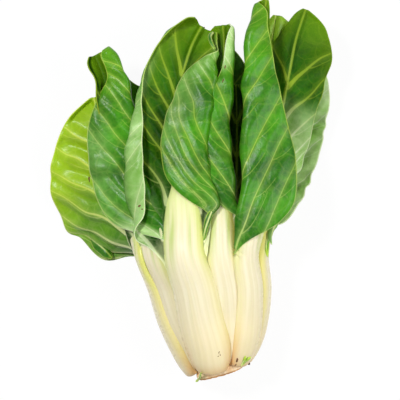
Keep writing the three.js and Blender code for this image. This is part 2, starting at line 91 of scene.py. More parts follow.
# The skin of the leaves, finer than the CAD model's.
BLADE_THICKNESS = 1.0
MARGIN_THINNING = 0.3        # share of that thickness at the very margin
STALK_OUTER_SHARE = 0.75     # of a stalk's thickness, on the leaf's outer side
STALK_ROUNDNESS = 0.42
STALK_END_ROUND = 4.5        # over which a stalk's end is rounded off
SECTION_STEPS = 96
FLOOR_GAP = 0.2              # the lowest blade lies this far above the floor
FAR = 99.0                   # stands for no vein near

# ---- The leaves ---------------------------------------------------------------------------
# The CAD model has the same figures. Pairs are [t, value], t being the share of the leaf's
# length from its base. midrib points are [x, y, height, facing]. Each half has reach, the width
# of the half blade; rise and curl, its slope from the stalk's edge and over its width, in
# degrees, positive towards the outer side; and fold, the angle that it turns through fold_at mm
# out, at fold_radius. neck is how the stalk narrows into the midrib.
LEAVES = [
    dict(
        name="front_leaf", ring="outer", angle=105, ring_scale=1.03, half_width=22, thickness=9.5,
        neck=[[0.41, 0.8], [0.49, 0.62], [0.55, 0.3]],
        midrib=[
          [-39, 144, 84, 97], [-42, 185, 76, 93], [-43, 230, 70, 92],
          [-38, 271, 68, 90], [-30, 296, 66, 90], [-22, 312, 63, 90],
        ],
        left=dict(
          reach=[[0.3, 0], [0.34, 3], [0.36, 8], [0.38, 15], [0.405, 27], [0.46, 46], [0.53, 60], [0.6, 64],
            [0.67, 60], [0.78, 46], [0.87, 34], [0.95, 29], [0.985, 25], [1, 15]],
          rise=-22, curl=50, fold_radius=5,
          fold=[[0.36, 60], [0.5, 140], [0.7, 140], [0.85, 90], [1, 60]],
          fold_at=[[0.36, 18], [0.4, 25], [0.46, 31], [0.53, 40], [0.6, 45], [0.67, 44], [0.78, 38],
            [0.87, 32], [0.95, 22], [1, 2]],
        ),
        right=dict(
          reach=[[0.32, 0], [0.35, 3], [0.38, 5], [0.43, 8], [0.455, 20], [0.485, 46], [0.55, 61],
            [0.63, 67], [0.73, 69], [0.79, 70], [0.845, 66], [0.87, 60], [0.9, 48], [0.925, 36],
            [0.95, 26], [1, 14]],
          rise=-12, curl=56, fold_radius=6,
          fold=[[0.4, 0], [0.425, 30], [0.455, 155], [0.91, 155], [0.955, 80], [1, 20]],
          fold_at=[[0.43, 7], [0.455, 14], [0.485, 21], [0.55, 22], [0.63, 24], [0.73, 28],
            [0.79, 32], [0.845, 32], [0.87, 31], [0.9, 29], [0.925, 27], [1, 22]],
        ),
    ),
    dict(
        name="right_front_leaf", ring="outer", angle=44, ring_scale=0.97, half_width=15.5, thickness=9,
        midrib=[
          [25, 144, 80, 70], [27, 185, 78, 80], [29, 230, 76, 85],
          [31, 274, 74, 88], [33, 305, 70, 90], [35, 335, 66, 92],
        ],
        left=dict(
          reach=[[0.31, 0], [0.34, 10], [0.365, 20], [0.39, 32], [0.42, 46], [0.46, 57], [0.52, 61],
            [0.58, 62], [0.66, 57], [0.74, 51], [0.82, 43], [0.92, 32], [0.97, 20], [1, 2]],
          rise=12, curl=10, fold=165, fold_radius=5,
          fold_at=[[0.32, 1], [0.4, 5], [0.5, 11], [0.6, 14], [0.75, 17], [0.9, 16], [1, 8]],
        ),
        right=dict(
          reach=[[0.38, 0], [0.41, 12], [0.5, 22], [0.65, 24], [0.8, 19], [0.9, 11], [0.96, 5], [1, 2]],
          rise=-45, curl=-30,
        ),
    ),
    dict(
        name="middle_leaf", ring="middle", angle=70, ring_scale=1.12, half_width=17, thickness=8,
        midrib=[
          [-5, 144, 78, 85], [-4, 185, 72, 88], [-3, 230, 68, 90],
          [-2, 274, 66, 90], [-2, 298, 64, 90], [-3, 313, 62, 90],
        ],
        left=dict(
          reach=[[0.4, 0], [0.43, 12], [0.55, 28], [0.8, 28], [0.93, 22], [0.98, 16], [1, 7]],
          rise=-35, curl=-20,
        ),
        right=dict(
          reach=[[0.4, 0], [0.43, 12], [0.49, 31], [0.6, 41], [0.7, 38], [0.8, 29], [0.87, 22], [0.95, 19],
            [0.985, 15], [1, 7]],
          rise=15, curl=30, fold=150, fold_radius=4,
          fold_at=[[0.4, 12], [0.5, 8], [0.6, 7.5], [0.7, 6.5], [0.85, 10], [1, 12]],
        ),
    ),
    dict(
        name="left_leaf", ring="middle", angle=150, ring_scale=1.17, half_width=19, thickness=8,
        midrib=[
          [-72, 129, 62, 125], [-82, 157, 57, 112], [-89, 189, 55, 100], [-95, 220, 55, 95],
          [-101, 252, 56, 95], [-106, 273, 57, 95], [-113, 289, 57, 98],
        ],
        left=dict(
          reach=[[0.38, 0], [0.42, 10], [0.55, 13], [0.7, 13], [0.8, 16], [0.87, 18], [0.95, 17],
            [0.985, 15], [1, 11]],
          rise=[[0.5, 0], [0.75, 40], [0.9, 55], [1, 40]], curl=0,
        ),
        right=dict(
          reach=[[0.32, 0], [0.36, 4], [0.385, 12], [0.43, 35], [0.49, 54], [0.57, 63], [0.66, 66],
            [0.75, 64], [0.82, 57], [0.87, 48], [0.92, 36], [0.96, 27], [0.985, 20], [1, 13]],
          rise=10, curl=10, fold=165, fold_radius=4.5,
          fold_at=[[0.36, 12], [0.5, 14], [0.75, 17], [0.9, 18], [0.95, 15], [1, 9]],
        ),
    ),
    dict(
        name="outer_left_leaf", ring="outer", angle=176, ring_scale=0.98,
        half_width=18.5, thickness=8.5, blade_from=0.4,
        midrib=[
          [-90, 142, 44, 122], [-99, 168, 42, 106], [-105, 192, 41, 98],
          [-112, 222, 42, 94], [-119, 250, 44, 92],
        ],
        left=dict(
          reach=[[0.43, 0], [0.465, 12], [0.473, 42], [0.481, 60], [0.5, 62], [0.53, 63], [0.62, 68],
            [0.75, 62], [0.88, 44], [0.96, 25], [1, 4]],
          rise=-8, curl=-6,
        ),
        right=dict(
          reach=[[0.46, 0], [0.5, 14], [0.57, 27], [0.8, 30], [0.93, 20], [1, 3]],
          rise=-30, curl=-20,
        ),
    ),
    dict(
        name="upper_right_leaf", ring="outer", angle=6, ring_scale=0.97, half_width=18, thickness=8,
        midrib=[
          [40, 144, 56, 25], [41, 170, 56, 50], [44, 205, 57, 70], [50, 240, 58, 80],
          [57, 275, 58, 85], [62, 300, 57, 88], [71, 328, 54, 90],
        ],
        left=dict(
          reach=[[0.4, 0], [0.45, 14], [0.6, 26], [0.75, 28], [0.88, 25], [0.95, 17], [0.98, 10], [1, 2]],
          rise=-10, curl=-60,
        ),
        right=dict(
          reach=[[0.4, 0], [0.44, 20], [0.5, 30], [0.6, 36], [0.72, 33], [0.8, 36], [0.88, 37], [0.95, 28],
            [0.98, 18], [1, 2]],
          rise=-8, curl=-16,
        ),
    ),
    dict(
        name="outer_right_leaf", ring="outer", angle=-46, half_width=18.5, thickness=8.5,
        midrib=[
          [32, 135, 11.5, -62], [46, 165, 3.5, -72], [58, 200, 2, -80],
          [68, 235, 8.5, -84], [76, 262, 16, -86], [84, 286, 22, -88],
        ],
        left=dict(
          reach=[[0.44, 0], [0.47, 12], [0.55, 22], [0.7, 27], [0.85, 24], [0.95, 14], [1, 2]],
          rise=-4, curl=-8,
        ),
        right=dict(
          reach=[[0.42, 0], [0.45, 12], [0.55, 24], [0.7, 32], [0.85, 30], [0.95, 16], [1, 2]],
          rise=-4, curl=-6,
        ),
    ),
    dict(
        name="under_middle_leaf", ring="outer", angle=-90, half_width=18.5, thickness=8.5,
        midrib=[
          [-22, 144, 9, -90], [-18, 185, 12, -90], [-10, 230, 20, -90],
          [-4, 270, 28, -90], [0, 300, 34, -90],
        ],
        left=dict(
          reach=[[0.38, 0], [0.42, 18], [0.55, 36], [0.7, 42], [0.85, 34], [0.95, 18], [1, 2]],
          rise=-12, curl=-12,
        ),
        right=dict(
          reach=[[0.38, 0], [0.42, 18], [0.55, 30], [0.7, 36], [0.85, 30], [0.95, 18], [1, 2]],
          rise=-12, curl=-10,
        ),
    ),
    dict(
        name="under_left_leaf", ring="outer", angle=-134, half_width=18.5, thickness=8.5,
        midrib=[
          [-62, 144, 4, -108], [-72, 180, 0.5, -100], [-80, 215, 6, -95],
          [-86, 245, 15, -92], [-92, 268, 23, -90],
        ],
        left=dict(
          reach=[[0.42, 0], [0.45, 18], [0.55, 26], [0.7, 30], [0.85, 28], [0.95, 16], [1, 2]],
          rise=-8, curl=-10,
        ),
        right=dict(
          reach=[[0.42, 0], [0.45, 14], [0.55, 34], [0.7, 40], [0.85, 32], [0.95, 18], [1, 2]],
          rise=-4, curl=-10,
        ),
    ),
    dict(
        name="back_right_leaf", ring="middle", angle=-12, half_width=15, thickness=7,
        midrib=[
          [25, 144, 38, -50], [33, 180, 36, -75], [39, 225, 37, -85],
          [40, 270, 40, -90], [41, 300, 42, -90], [45, 324, 43, -90],
        ],
        left=dict(
          reach=[[0.42, 0], [0.45, 12], [0.55, 22], [0.7, 24], [0.85, 24], [0.95, 20], [0.985, 15], [1, 6]],
          rise=6, curl=20,
        ),
        right=dict(
          reach=[[0.42, 0], [0.45, 10], [0.55, 18], [0.7, 20], [0.85, 20], [0.95, 12], [1, 2]],
          rise=6, curl=10,
        ),
    ),
    dict(
        name="heart_leaf_upper", ring="inner", angle=72, half_width=12, thickness=6,
        midrib=[[6, 135, 58, 90], [9, 165, 44, 92], [10, 200, 36, 94], [10, 235, 36, 96], [9, 262, 38, 98]],
        left=dict(
          reach=[[0.42, 0], [0.46, 12], [0.6, 24], [0.8, 24], [0.93, 14], [1, 2]],
          rise=-30, curl=-40,
        ),
        right=dict(
          reach=[[0.42, 0], [0.46, 8], [0.6, 12], [0.8, 14], [0.93, 9], [1, 2]],
          rise=-20, curl=-40,
        ),
    ),
    dict(
        name="heart_leaf_left", ring="inner", angle=195, half_width=12, thickness=6,
        midrib=[[-50, 130, 50, 170], [-52, 160, 50, 150], [-50, 195, 48, 130], [-48, 225, 46, 120]],
        left=dict(
          reach=[[0.42, 0], [0.46, 12], [0.6, 22], [0.8, 22], [0.93, 14], [1, 2]],
          rise=-20, curl=-60,
        ),
        right=dict(
          reach=[[0.42, 0], [0.46, 12], [0.6, 22], [0.8, 22], [0.93, 14], [1, 2]],
          rise=-20, curl=-60,
        ),
    ),
    dict(
        name="heart_leaf_lower", ring="inner", angle=-60, half_width=12, thickness=6,
        midrib=[[-8, 130, 28, -70], [-10, 160, 34, -75], [-8, 190, 40, -80], [-6, 215, 42, -85]],
        left=dict(
          reach=[[0.42, 0], [0.46, 12], [0.6, 18], [0.8, 18], [0.93, 12], [1, 2]],
          rise=-20, curl=-50,
        ),
        right=dict(
          reach=[[0.42, 0], [0.46, 12], [0.6, 18], [0.8, 18], [0.93, 12], [1, 2]],
          rise=-20, curl=-50,
        ),
    ),
]

# The look of each leaf. left and right: where the side veins of that half leave the midrib, in
# mm past the blade's start, how steeply they run up towards the tip and their half width at the
# root. swell: how far the blade stands up between them. ruffle: [height, length] of the waves in
# the margins. yellow: how far the left and the right edge of the stalk are painted yellow, as
# painted shade for the gaps between stalks. pale: from -1 for the darkest blade to 1 for the
# palest; besides the blade's own tone it carries painted shade and painted light. pale_margin:
# what the left and the right margin add to it, also carrying painted light and shade.
# tone: which of the leaf materials.
PLAIN_VEINS = dict(roots=[-12, 14, 42, 72, 102, 132], steep=1.5, root_width=0.9)


def plain_look(swell, ruffle, yellow, **more):
    """The look of a leaf with the same plain veins in both halves."""
    return dict(left=PLAIN_VEINS, right=PLAIN_VEINS, swell=swell, ruffle=ruffle, yellow=yellow, **more)


LOOKS = {
    "front_leaf": dict(
        left=dict(roots=[-40, -14, 14, 44, 70, 92, 112, 134, 158], steep=1.15, root_width=1.3),
        right=dict(roots=[-44, -30, -18, -6, 10, 34, 78, 118, 150], steep=1.75, root_width=0.9),
        swell=3.8, ruffle=[1.4, 52], yellow=[0, 0.3], pale=[[0.5, -0.15], [0.8, -0.1], [1, 0]],
        # Both margins are painted paler: painted highlights where the left margin rolls and the right half
        # folds over.
        pale_margin=[
            [[0.7, 0.7], [0.8, 0.45], [0.92, 0.1]],
            [[0.6, 0.1], [0.74, 0.4], [0.92, 0.4], [1, 0.1]],
        ]),
    "right_front_leaf": dict(
        left=dict(roots=[-62, -22, 22, 68, 112, 150], steep=1.9, root_width=1.0),
        right=dict(roots=[-10, 24, 56, 90, 124, 150], steep=1.4, root_width=0.8),
        swell=3.8, ruffle=[1.2, 60], yellow=[0.2, 0]),
    "middle_leaf": dict(
        left=dict(roots=[-10, 20, 48, 76, 104, 132], steep=1.3, root_width=0.8),
        right=dict(roots=[-52, -16, 18, 54, 90, 124, 150], steep=1.7, root_width=0.8),
        swell=3, ruffle=[1.2, 48], yellow=[0.3, 1],
        pale_margin=[0, [[0.84, 0], [0.92, 0.8], [1, 0.9]]]),
    "left_leaf": dict(
        left=dict(roots=[-10, 20, 48, 76, 104, 130], steep=1.2, root_width=0.8),
        right=dict(roots=[-58, -26, 6, 42, 78, 110, 138], steep=1.6, root_width=1.0),
        swell=4, ruffle=[1.6, 44], yellow=[0.5, 0.2],
        # Left margin painted dark: painted shade on the strip beside the flap. Right margin: pale ribs at the
        # foot, then a painted highlight up the folded flap.
        pale_margin=[
            [[0.7, -1], [1, -1]],
            [[0.42, 0.9], [0.46, 0.8], [0.52, 0.2], [0.72, 0.3], [0.84, 0]],
        ]),
    "outer_left_leaf": dict(
        left=dict(roots=[-30, -18, -4, 14, 36, 60, 84, 108], steep=0.66, root_width=1.3),
        right=dict(roots=[-12, 12, 38, 64, 90, 112], steep=0.9, root_width=1.0),
        swell=6.5, ruffle=[[[0.42, 3.5], [0.56, 3.5], [0.68, 1.8], [1, 1]], 25], yellow=[0, 0.5],
        # Darker towards the foot: the lower blade's greener tone, with painted shade for the gaps of its
        # pleats.
        pale=[[0.48, -0.6], [0.6, -0.35], [0.74, 0]], tone="light"),
    "upper_right_leaf": dict(
        left=dict(roots=[-8, 22, 52, 82, 112, 142], steep=1.1, root_width=0.9),
        right=dict(roots=[-32, -21, -10, 1, 12, 24, 38, 54, 76, 104, 136], steep=0.95, root_width=1.7),
        swell=2.6, ruffle=[1.4, 50], yellow=[0.7, 0.2],
        # The foot of the blade is painted paler: painted light where it lies in shade. Darker towards the
        # tip.
        pale=[[0.5, 1], [0.6, 0.75], [0.7, 0.4], [0.86, -0.35], [1, -0.2]]),
    "outer_right_leaf": dict(
        left=PLAIN_VEINS,
        right=dict(roots=[-30, -18, -6, 6, 20, 34, 50, 68, 90, 116], steep=1.0, root_width=2.1),
        # Painted paler all over: painted light on a blade that lies in shade.
        swell=3, ruffle=[2.4, 28], yellow=[0.7, 0.2], pale=0.9),
    "under_middle_leaf": plain_look(2, [1.6, 46], [0.2, 0.2], pale=-0.6),
    "under_left_leaf": plain_look(2.4, [2, 38], [0.2, 0.2]),
    "back_right_leaf": plain_look(2, [1.4, 46], [0.5, 0.5], pale=0.15, tone="light"),
    # Painted dark all over: painted shade, where it shows in the gap between the leaves.
    "heart_leaf_upper": plain_look(1, [0.8, 30], [1, 1], pale=-1),
    "heart_leaf_left": plain_look(1, [0.8, 30], [1, 1]),
    "heart_leaf_lower": plain_look(1, [0.8, 30], [1, 1]),
}


# ---- Curves and noise ---------------------------------------------------------------------
def smooth(x):
    """An easy step from 0 to 1 as x goes from 0 to 1."""
    x = np.clip(x, 0, 1)
    return x * x * (3 - 2 * x)


def through(rows, t, level=False):
    """A cubic through [t, a, b, ...] rows, read at each t. With level set it never overshoots."""
    table = np.array(rows, float)
    places, values = table[:, 0], table[:, 1:]
    slopes = (values[1:] - values[:-1]) / np.diff(places)[:, None]
    tangents = np.vstack([slopes[:1], slopes[:-1], slopes[-1:]])
    for i in range(1, len(places) - 1):
        before, after = places[i] - places[i - 1], places[i + 1] - places[i]
        tangents[i] = (slopes[i - 1] * after + slopes[i] * before) / (before + after)
        if level:
            limit = 2 * np.minimum(abs(slopes[i - 1]), abs(slopes[i]))
            limited = np.sign(tangents[i]) * np.minimum(abs(tangents[i]), limit)
            tangents[i] = np.where(slopes[i - 1] * slopes[i] <= 0, 0, limited)
    tangents[-1] = slopes[-1]
    t = np.clip(t, places[0], places[-1])
    k = np.clip(np.searchsorted(places, t, side="right") - 1, 0, len(places) - 2)
    span = (places[k + 1] - places[k])[:, None]
    u = (t - places[k])[:, None] / span
    return ((2 * u**3 - 3 * u**2 + 1) * values[k] + (u**3 - 2 * u**2 + u) * span * tangents[k]
            + (3 * u**2 - 2 * u**3) * values[k + 1] + (u**3 - u**2) * span * tangents[k + 1])


def along(profile, t):
    """A profile is one number, or [t, value] pairs."""
    if not isinstance(profile, list):
        return np.full(len(t), float(profile))
    return through(profile, t, level=True)[:, 0]


def noise(x, y, size, seed):
    """Smooth random heights between -1 and 1, over patches of the given size."""
    lattice = np.random.default_rng(seed).uniform(-1, 1, (64, 64))
    gx, gy = x / size, y / size
    ix, iy = np.floor(gx).astype(int), np.floor(gy).astype(int)
    fx, fy = smooth(gx - ix), smooth(gy - iy)
    corner = lambda a, b: lattice[(ix + a) % 64, (iy + b) % 64]
    low = corner(0, 0) * (1 - fx) + corner(1, 0) * fx
    high = corner(0, 1) * (1 - fx) + corner(1, 1) * fx
    return low * (1 - fy) + high * fy


# ---- The shape of a leaf ------------------------------------------------------------------
def midrib_table(leaf):
    """Guide points of the midrib: up the ring of stalks, then the leaf's own points."""
    size, start = RINGS[leaf["ring"]]
    angle = math.radians(leaf["angle"])
    at = lambda profile, place: along(profile, np.array([place]))[0]
    points = []
    for end in STALK_ENDS:
        y = end + start * max(0, 1 - end / SQUASH_FULL)
        wide = leaf.get("ring_scale", 1) * size * at(RING_RADIUS, y - start)
        high = wide * (1 - RING_SQUASH * smooth(y / SQUASH_FULL))
        across = wide * math.cos(angle)
        facing = math.degrees(math.atan2(math.sin(angle) / high, math.cos(angle) / wide))
        facing += 360 * round((leaf["angle"] - facing) / 360)
        lean = math.tan(math.radians(CUT_TILT)) * across * max(0, 1 - y / LEAN_FADES)
        points.append([at(RING_ACROSS, y) + across, y + lean,
                       at(RING_HEIGHT, y) + high * math.sin(angle), facing])
    points = np.array(points + leaf["midrib"], float)
    steps = np.linalg.norm(np.diff(points[:, :3], axis=0), axis=1)
    lengths = np.concatenate([[0], np.cumsum(steps)])
    return np.column_stack([lengths / lengths[-1], points]), lengths[-1]


def midrib_frames(table, t):
    """At each t: a point of the midrib, outward to the leaf's outer side, sideways to its right."""
    step = 1e-3
    rows = through(table, t)
    forward = through(table, t + step)[:, :3] - through(table, t - step)[:, :3]
    forward /= np.linalg.norm(forward, axis=1, keepdims=True)
    facing = np.radians(rows[:, 3])
    outward = np.column_stack([np.cos(facing), 0 * facing, np.sin(facing)])
    outward -= (outward * forward).sum(1, keepdims=True) * forward
    outward /= np.linalg.norm(outward, axis=1, keepdims=True)
    return rows[:, :3], outward, np.cross(forward, outward)


def stalk_at(leaf, t):
    """Half width of the stalk, its thickness and the radius that it wraps round."""
    start = leaf.get("blade_from", BLADE_STARTS)
    neck = leaf.get("neck", [[start + 0.05, 0.74], [start + 0.13, 0.38]])
    narrowing = [
        [0, 0.62], [0.05, 0.9], [0.1, 1], [0.2, 0.95], [start, 0.82], *neck,
        [0.62, 0.15], [0.75, 0.06], [1, 0.015],
    ]
    thinning = [[0, 0.9], [0.1, 1], [start, 0.8], [start + 0.12, 0.45], [0.8, 0.15], [1, 0.06]]
    wrap = [[0, 22], [0.15, 30], [0.35, 40], [0.6, 60]]
    return leaf["half_width"] * along(narrowing, t), leaf["thickness"] * along(thinning, t), along(wrap, t)


def half_section(half, stalk_half, wrap, t):
    """Cross sections of a half blade from the stalk's edge: reach, and out and up at each step."""
    half = {**NO_FOLD, **half}
    reach = np.where(t < half["reach"][0][0], 0, along(half["reach"], t)) + LEAST_REACH
    fold = np.radians(along(half["fold"], t))[:, None]
    fold_at = along(half["fold_at"], t)[:, None]
    bend = np.maximum(half["fold_radius"] * abs(fold), LEAST_BEND)
    edge = (stalk_half / wrap)[:, None]
    share = (np.arange(SECTION_STEPS) + 0.5) / SECTION_STEPS
    s = reach[:, None] * share
    rise, curl = (np.radians(along(half[name], t))[:, None] for name in ("rise", "curl"))
    slope = (-edge + rise * smooth(s / SLOPE_EASES) + curl * share
             + fold * smooth((s - fold_at) / bend + 0.5))
    step = reach[:, None] / SECTION_STEPS
    out = wrap[:, None] * np.sin(edge) + np.hstack([0 * edge, np.cumsum(step * np.cos(slope), 1)])
    up = wrap[:, None] * (np.cos(edge) - 1) + np.hstack([0 * edge, np.cumsum(step * np.sin(slope), 1)])
    return reach, out, up


def place_columns(reach, stalk_half, over_stalk, over_blade):
    """Distance of each column from the midrib. They spread over the stalk where there is no blade."""
    stalk_half, reach = stalk_half[:, None], reach[:, None]
    count = over_stalk + over_blade
    spread = (stalk_half + reach) * np.arange(1, count + 1) / count
    split = np.hstack([stalk_half * np.arange(1, over_stalk + 1) / over_stalk,
                       stalk_half + reach * np.arange(1, over_blade + 1) / over_blade])
    opened = smooth(reach / 8)
    return spread * (1 - opened) + split * opened


def section_points(distance, stalk_half, wrap, reach, out, up):
    """Out and up of the cross section at each distance from the midrib."""
    turn = np.minimum(distance, stalk_half[:, None]) / wrap[:, None]
    place = np.clip((distance - stalk_half[:, None]) / reach[:, None], 0, 1) * SECTION_STEPS
    i = np.minimum(place.astype(int), SECTION_STEPS - 1)
    share = place - i
    rows = np.arange(len(reach))[:, None]
    read = lambda table: table[rows, i] * (1 - share) + table[rows, i + 1] * share
    on_stalk = distance <= stalk_half[:, None]
    return (np.where(on_stalk, wrap[:, None] * np.sin(turn), read(out)),
            np.where(on_stalk, wrap[:, None] * (np.cos(turn) - 1), read(up)))


def leaf_grid(leaf, t, over_stalk, over_blade):
    """The leaf's middle surface as a grid of points, with where each lies on the leaf."""
    table, length = midrib_table(leaf)
    point, outward, sideways = midrib_frames(table, t)
    stalk_half, thick, wrap = stalk_at(leaf, t)
    parts = []
    for side, name in ((-1, "left"), (1, "right")):
        reach, out, up = half_section(leaf[name], stalk_half, wrap, t)
        distance = place_columns(reach, stalk_half, over_stalk, over_blade)
        if side > 0:
            distance = np.hstack([0 * distance[:, :1], distance])
        across, lift = section_points(distance, stalk_half, wrap, reach, out, up)
        blade = np.clip((distance - stalk_half[:, None]) / reach[:, None], 0, 1)
        margin = stalk_half[:, None] + reach[:, None] - distance
        fields = [side * across, lift, side * distance, blade, margin, reach[:, None] + 0 * distance]
        parts.append([field[:, ::side] for field in fields])
    across, lift, s, blade, margin, reach = [np.hstack(pair) for pair in zip(*parts)]
    spots = (point[:, None] + sideways[:, None] * across[..., None] + outward[:, None] * lift[..., None])
    return dict(spots=spots, s=s, v=(t * length)[:, None] + 0 * s, t=t[:, None] + 0 * s, blade=blade,
                margin=margin, reach=reach, half=stalk_half[:, None] + 0 * s, thick=thick[:, None] + 0 * s,
                start=leaf.get("blade_from", BLADE_STARTS), length=length)


def surface_normals(spots):
    """Outward normals of a grid of points."""
    unit = lambda a: a / np.maximum(np.linalg.norm(a, axis=2, keepdims=True), 1e-9)
    across = unit(np.gradient(spots, axis=1))
    forward = unit(np.gradient(spots, axis=0))
    return unit(np.cross(across, forward))


# ---- Veins and relief ---------------------------------------------------------------------
STRAND_SPACING = 4.2         # mm between the ridges that run along a stalk
VEIN_HEIGHT = 0.7            # how far a vein stands out of the outer side, per mm of half width
VEIN_GROOVE = 0.45           # how far it sinks into the inner side
VEIN_STEP = 2.0              # mm between the points of a vein
ROLLING = [(34, 2.2, 21), (13, 0.4, 31)]   # size, height and seed of the blade's random swellings


def climb(beyond, steep):
    """How far up the leaf a side vein has run at a distance beyond the stalk's edge."""
    return steep * (0.75 * beyond + 13 * (1 - np.exp(-beyond / 12))) + 0.004 * beyond**2


def vein_lines(look, widest, draw):
    """Side veins of a half blade and their branches, as lines of [beyond, along, half width]
    rows: mm beyond the stalk's edge and mm past the blade's start. The branches leave on the
    lower side and stop short of the next vein."""
    mains, branches = [], []
    for root in look["roots"]:
        steep = look["steep"] * draw.uniform(0.92, 1.1)
        wave, swing = draw.uniform(22, 34), draw.uniform(-1.2, 1.2)
        b = np.arange(0, widest + 12, VEIN_STEP)
        up = root + climb(b, steep) + swing * (np.sin(b / wave * 2 * math.pi) + b / 30)
        path = np.concatenate([[0], np.cumsum(np.hypot(np.diff(b), np.diff(up)))])
        width = 0.2 + 1.2 * look["root_width"] * (0.2 + 0.8 * np.exp(-path / 26)) * np.exp(-path / 100)
        mains.append(np.column_stack([b, up, width, path]))
    for number, main in enumerate(mains):
        below = mains[number - 1] if number else None
        at = draw.uniform(20, 34)
        while at < main[-1, 3] - 8:
            k = int(np.searchsorted(main[:, 3], at))
            slope = (main[k, 1] - main[k - 2, 1]) / (main[k, 0] - main[k - 2, 0])
            out = np.arange(0, draw.uniform(18, 34), VEIN_STEP)
            b = main[k, 0] + out
            up = (main[k, 1] + slope * draw.uniform(0.25, 0.4) * out + 0.016 * out**2
                  - 1.5 * (1 - np.exp(-out / 3)))
            if below is not None:
                clear = up > np.interp(b, below[:, 0], below[:, 1]) + 5
                count = len(out) if clear.all() else int(np.argmin(clear))
                b, up, out = b[:count], up[:count], out[:count]
            if len(out) > 3:
                branches.append(np.column_stack([b, up, 0.12 + 0.55 * main[k, 2] * np.exp(-out / 14)]))
            at += draw.uniform(28, 44)
    return mains, branches


def nearest_vein(lines, beyond, up):
    """Signed distance to the nearest vein's middle line, and that vein's half width there."""
    best, signed, width = np.full(beyond.shape, FAR), np.full(beyond.shape, FAR), np.zeros(beyond.shape)
    for line in lines:
        for (b0, v0, w0), (b1, v1, w1) in zip(line[:-1, :3], line[1:, :3]):
            db, dv = b1 - b0, v1 - v0
            share = np.clip(((beyond - b0) * db + (up - v0) * dv) / (db * db + dv * dv), 0, 1)
            gap_b, gap_v = beyond - b0 - share * db, up - v0 - share * dv
            distance = np.hypot(gap_b, gap_v)
            closer = distance < best
            best = np.where(closer, distance, best)
            signed = np.where(closer, np.where(gap_v * db > gap_b * dv, distance, -distance), signed)
            width = np.where(closer, w0 + share * (w1 - w0), width)
    return signed, width


def lateral_veins(grid, look, seed):
    """For every point: the signed distance to the nearest side vein and the vein's half width,
    and the same for the nearest branch."""
    draw = np.random.default_rng(seed)
    beyond = np.maximum(abs(grid["s"]) - grid["half"], 0)
    wander = 2 * noise(grid["s"], grid["v"], 22, seed) * smooth(beyond / 10)
    up = grid["v"] - grid["start"] * grid["length"] + wander
    fields = [np.full(beyond.shape, blank) for blank in (FAR, 0.0, FAR, 0.0)]
    for side, name in ((-1, "left"), (1, "right")):
        mask = grid["s"] * side > 0
        mains, branches = vein_lines(look[name], grid["reach"].max(), draw)
        fields[0][mask], fields[1][mask] = nearest_vein(mains, beyond[mask], up[mask])
        fields[2][mask], fields[3][mask] = nearest_vein(branches, beyond[mask], up[mask])
    return fields


def relief(grid, look, seed):
    """How far the middle surface moves outward, and how much the outer and inner skins add."""
    main, main_width, branch, branch_width = veins = lateral_veins(grid, look, seed)
    on_blade = smooth((abs(grid["s"]) - grid["half"]) / 4) * smooth(grid["reach"] / 12)
    rib = lambda signed, width: width * np.exp(-((signed / (1.4 * width + 0.6)) ** 2))
    vein = np.maximum(rib(main, main_width), rib(branch, branch_width)) * on_blade
    vein *= smooth(grid["margin"] / 3)
    between = smooth(np.minimum(abs(main) / 11, 0.45 + abs(branch) / 14)) * on_blade
    height, wave = look["ruffle"]
    height = along(height, grid["t"][:, 0])[:, None]
    swing = 1.3 * noise(grid["v"], grid["s"] * 0, wave, seed + 11)
    phase = 2 * math.pi * grid["v"] / wave + 3 * swing + seed
    ruffle = height * grid["blade"] ** 2 * np.sin(phase) * on_blade
    rolling = sum(noise(grid["s"], grid["v"], size, seed + own) * high for size, high, own in ROLLING)
    middle = ruffle + rolling * on_blade * (0.3 + 0.7 * grid["blade"])
    middle -= look["swell"] * between * (1 - 0.5 * grid["blade"]) * smooth(grid["margin"] / 6)
    strands = np.cos(2 * math.pi * grid["s"] / STRAND_SPACING + noise(grid["v"], grid["s"], 40, seed + 41))
    on_stalk = np.clip(1 - (grid["s"] / grid["half"]) ** 2, 0, 1)
    near_blade = smooth(((grid["t"] - grid["start"]) * grid["length"] + 35) / 50)
    ribs = (0.06 + 0.16 * near_blade) * strands * on_stalk**2 * smooth(grid["t"] / 0.1)
    return middle, vein * VEIN_HEIGHT + ribs, -VEIN_GROOVE * vein, veins


def tone_and_painted_light(grid, look):
    """How pale the blade is, from -1 for dark to 1 for pale: along the leaf, and towards its
    left and right margins. Besides the blade's own tone it carries painted shade and painted light."""
    t = grid["t"][:, 0]
    left, right = (along(profile, t)[:, None] for profile in look.get("pale_margin", [0, 0]))
    side = np.where(grid["s"] < 0, left, right) * smooth((grid["blade"] - 0.5) / 0.35)
    return np.clip(along(look.get("pale", 0), t)[:, None] + side, -1, 1)


def shaded_edge_yellow(grid, look):
    """How yellow the stalk is painted at its edges: painted shade, for where they lie in the gaps between
    stalks.
    """
    share = grid["s"] / grid["half"]
    left, right = look["yellow"]
    tint = left * smooth((-share - 0.35) / 0.6) + right * smooth((share - 0.35) / 0.6)
    return tint * smooth(grid["t"] / 0.12)


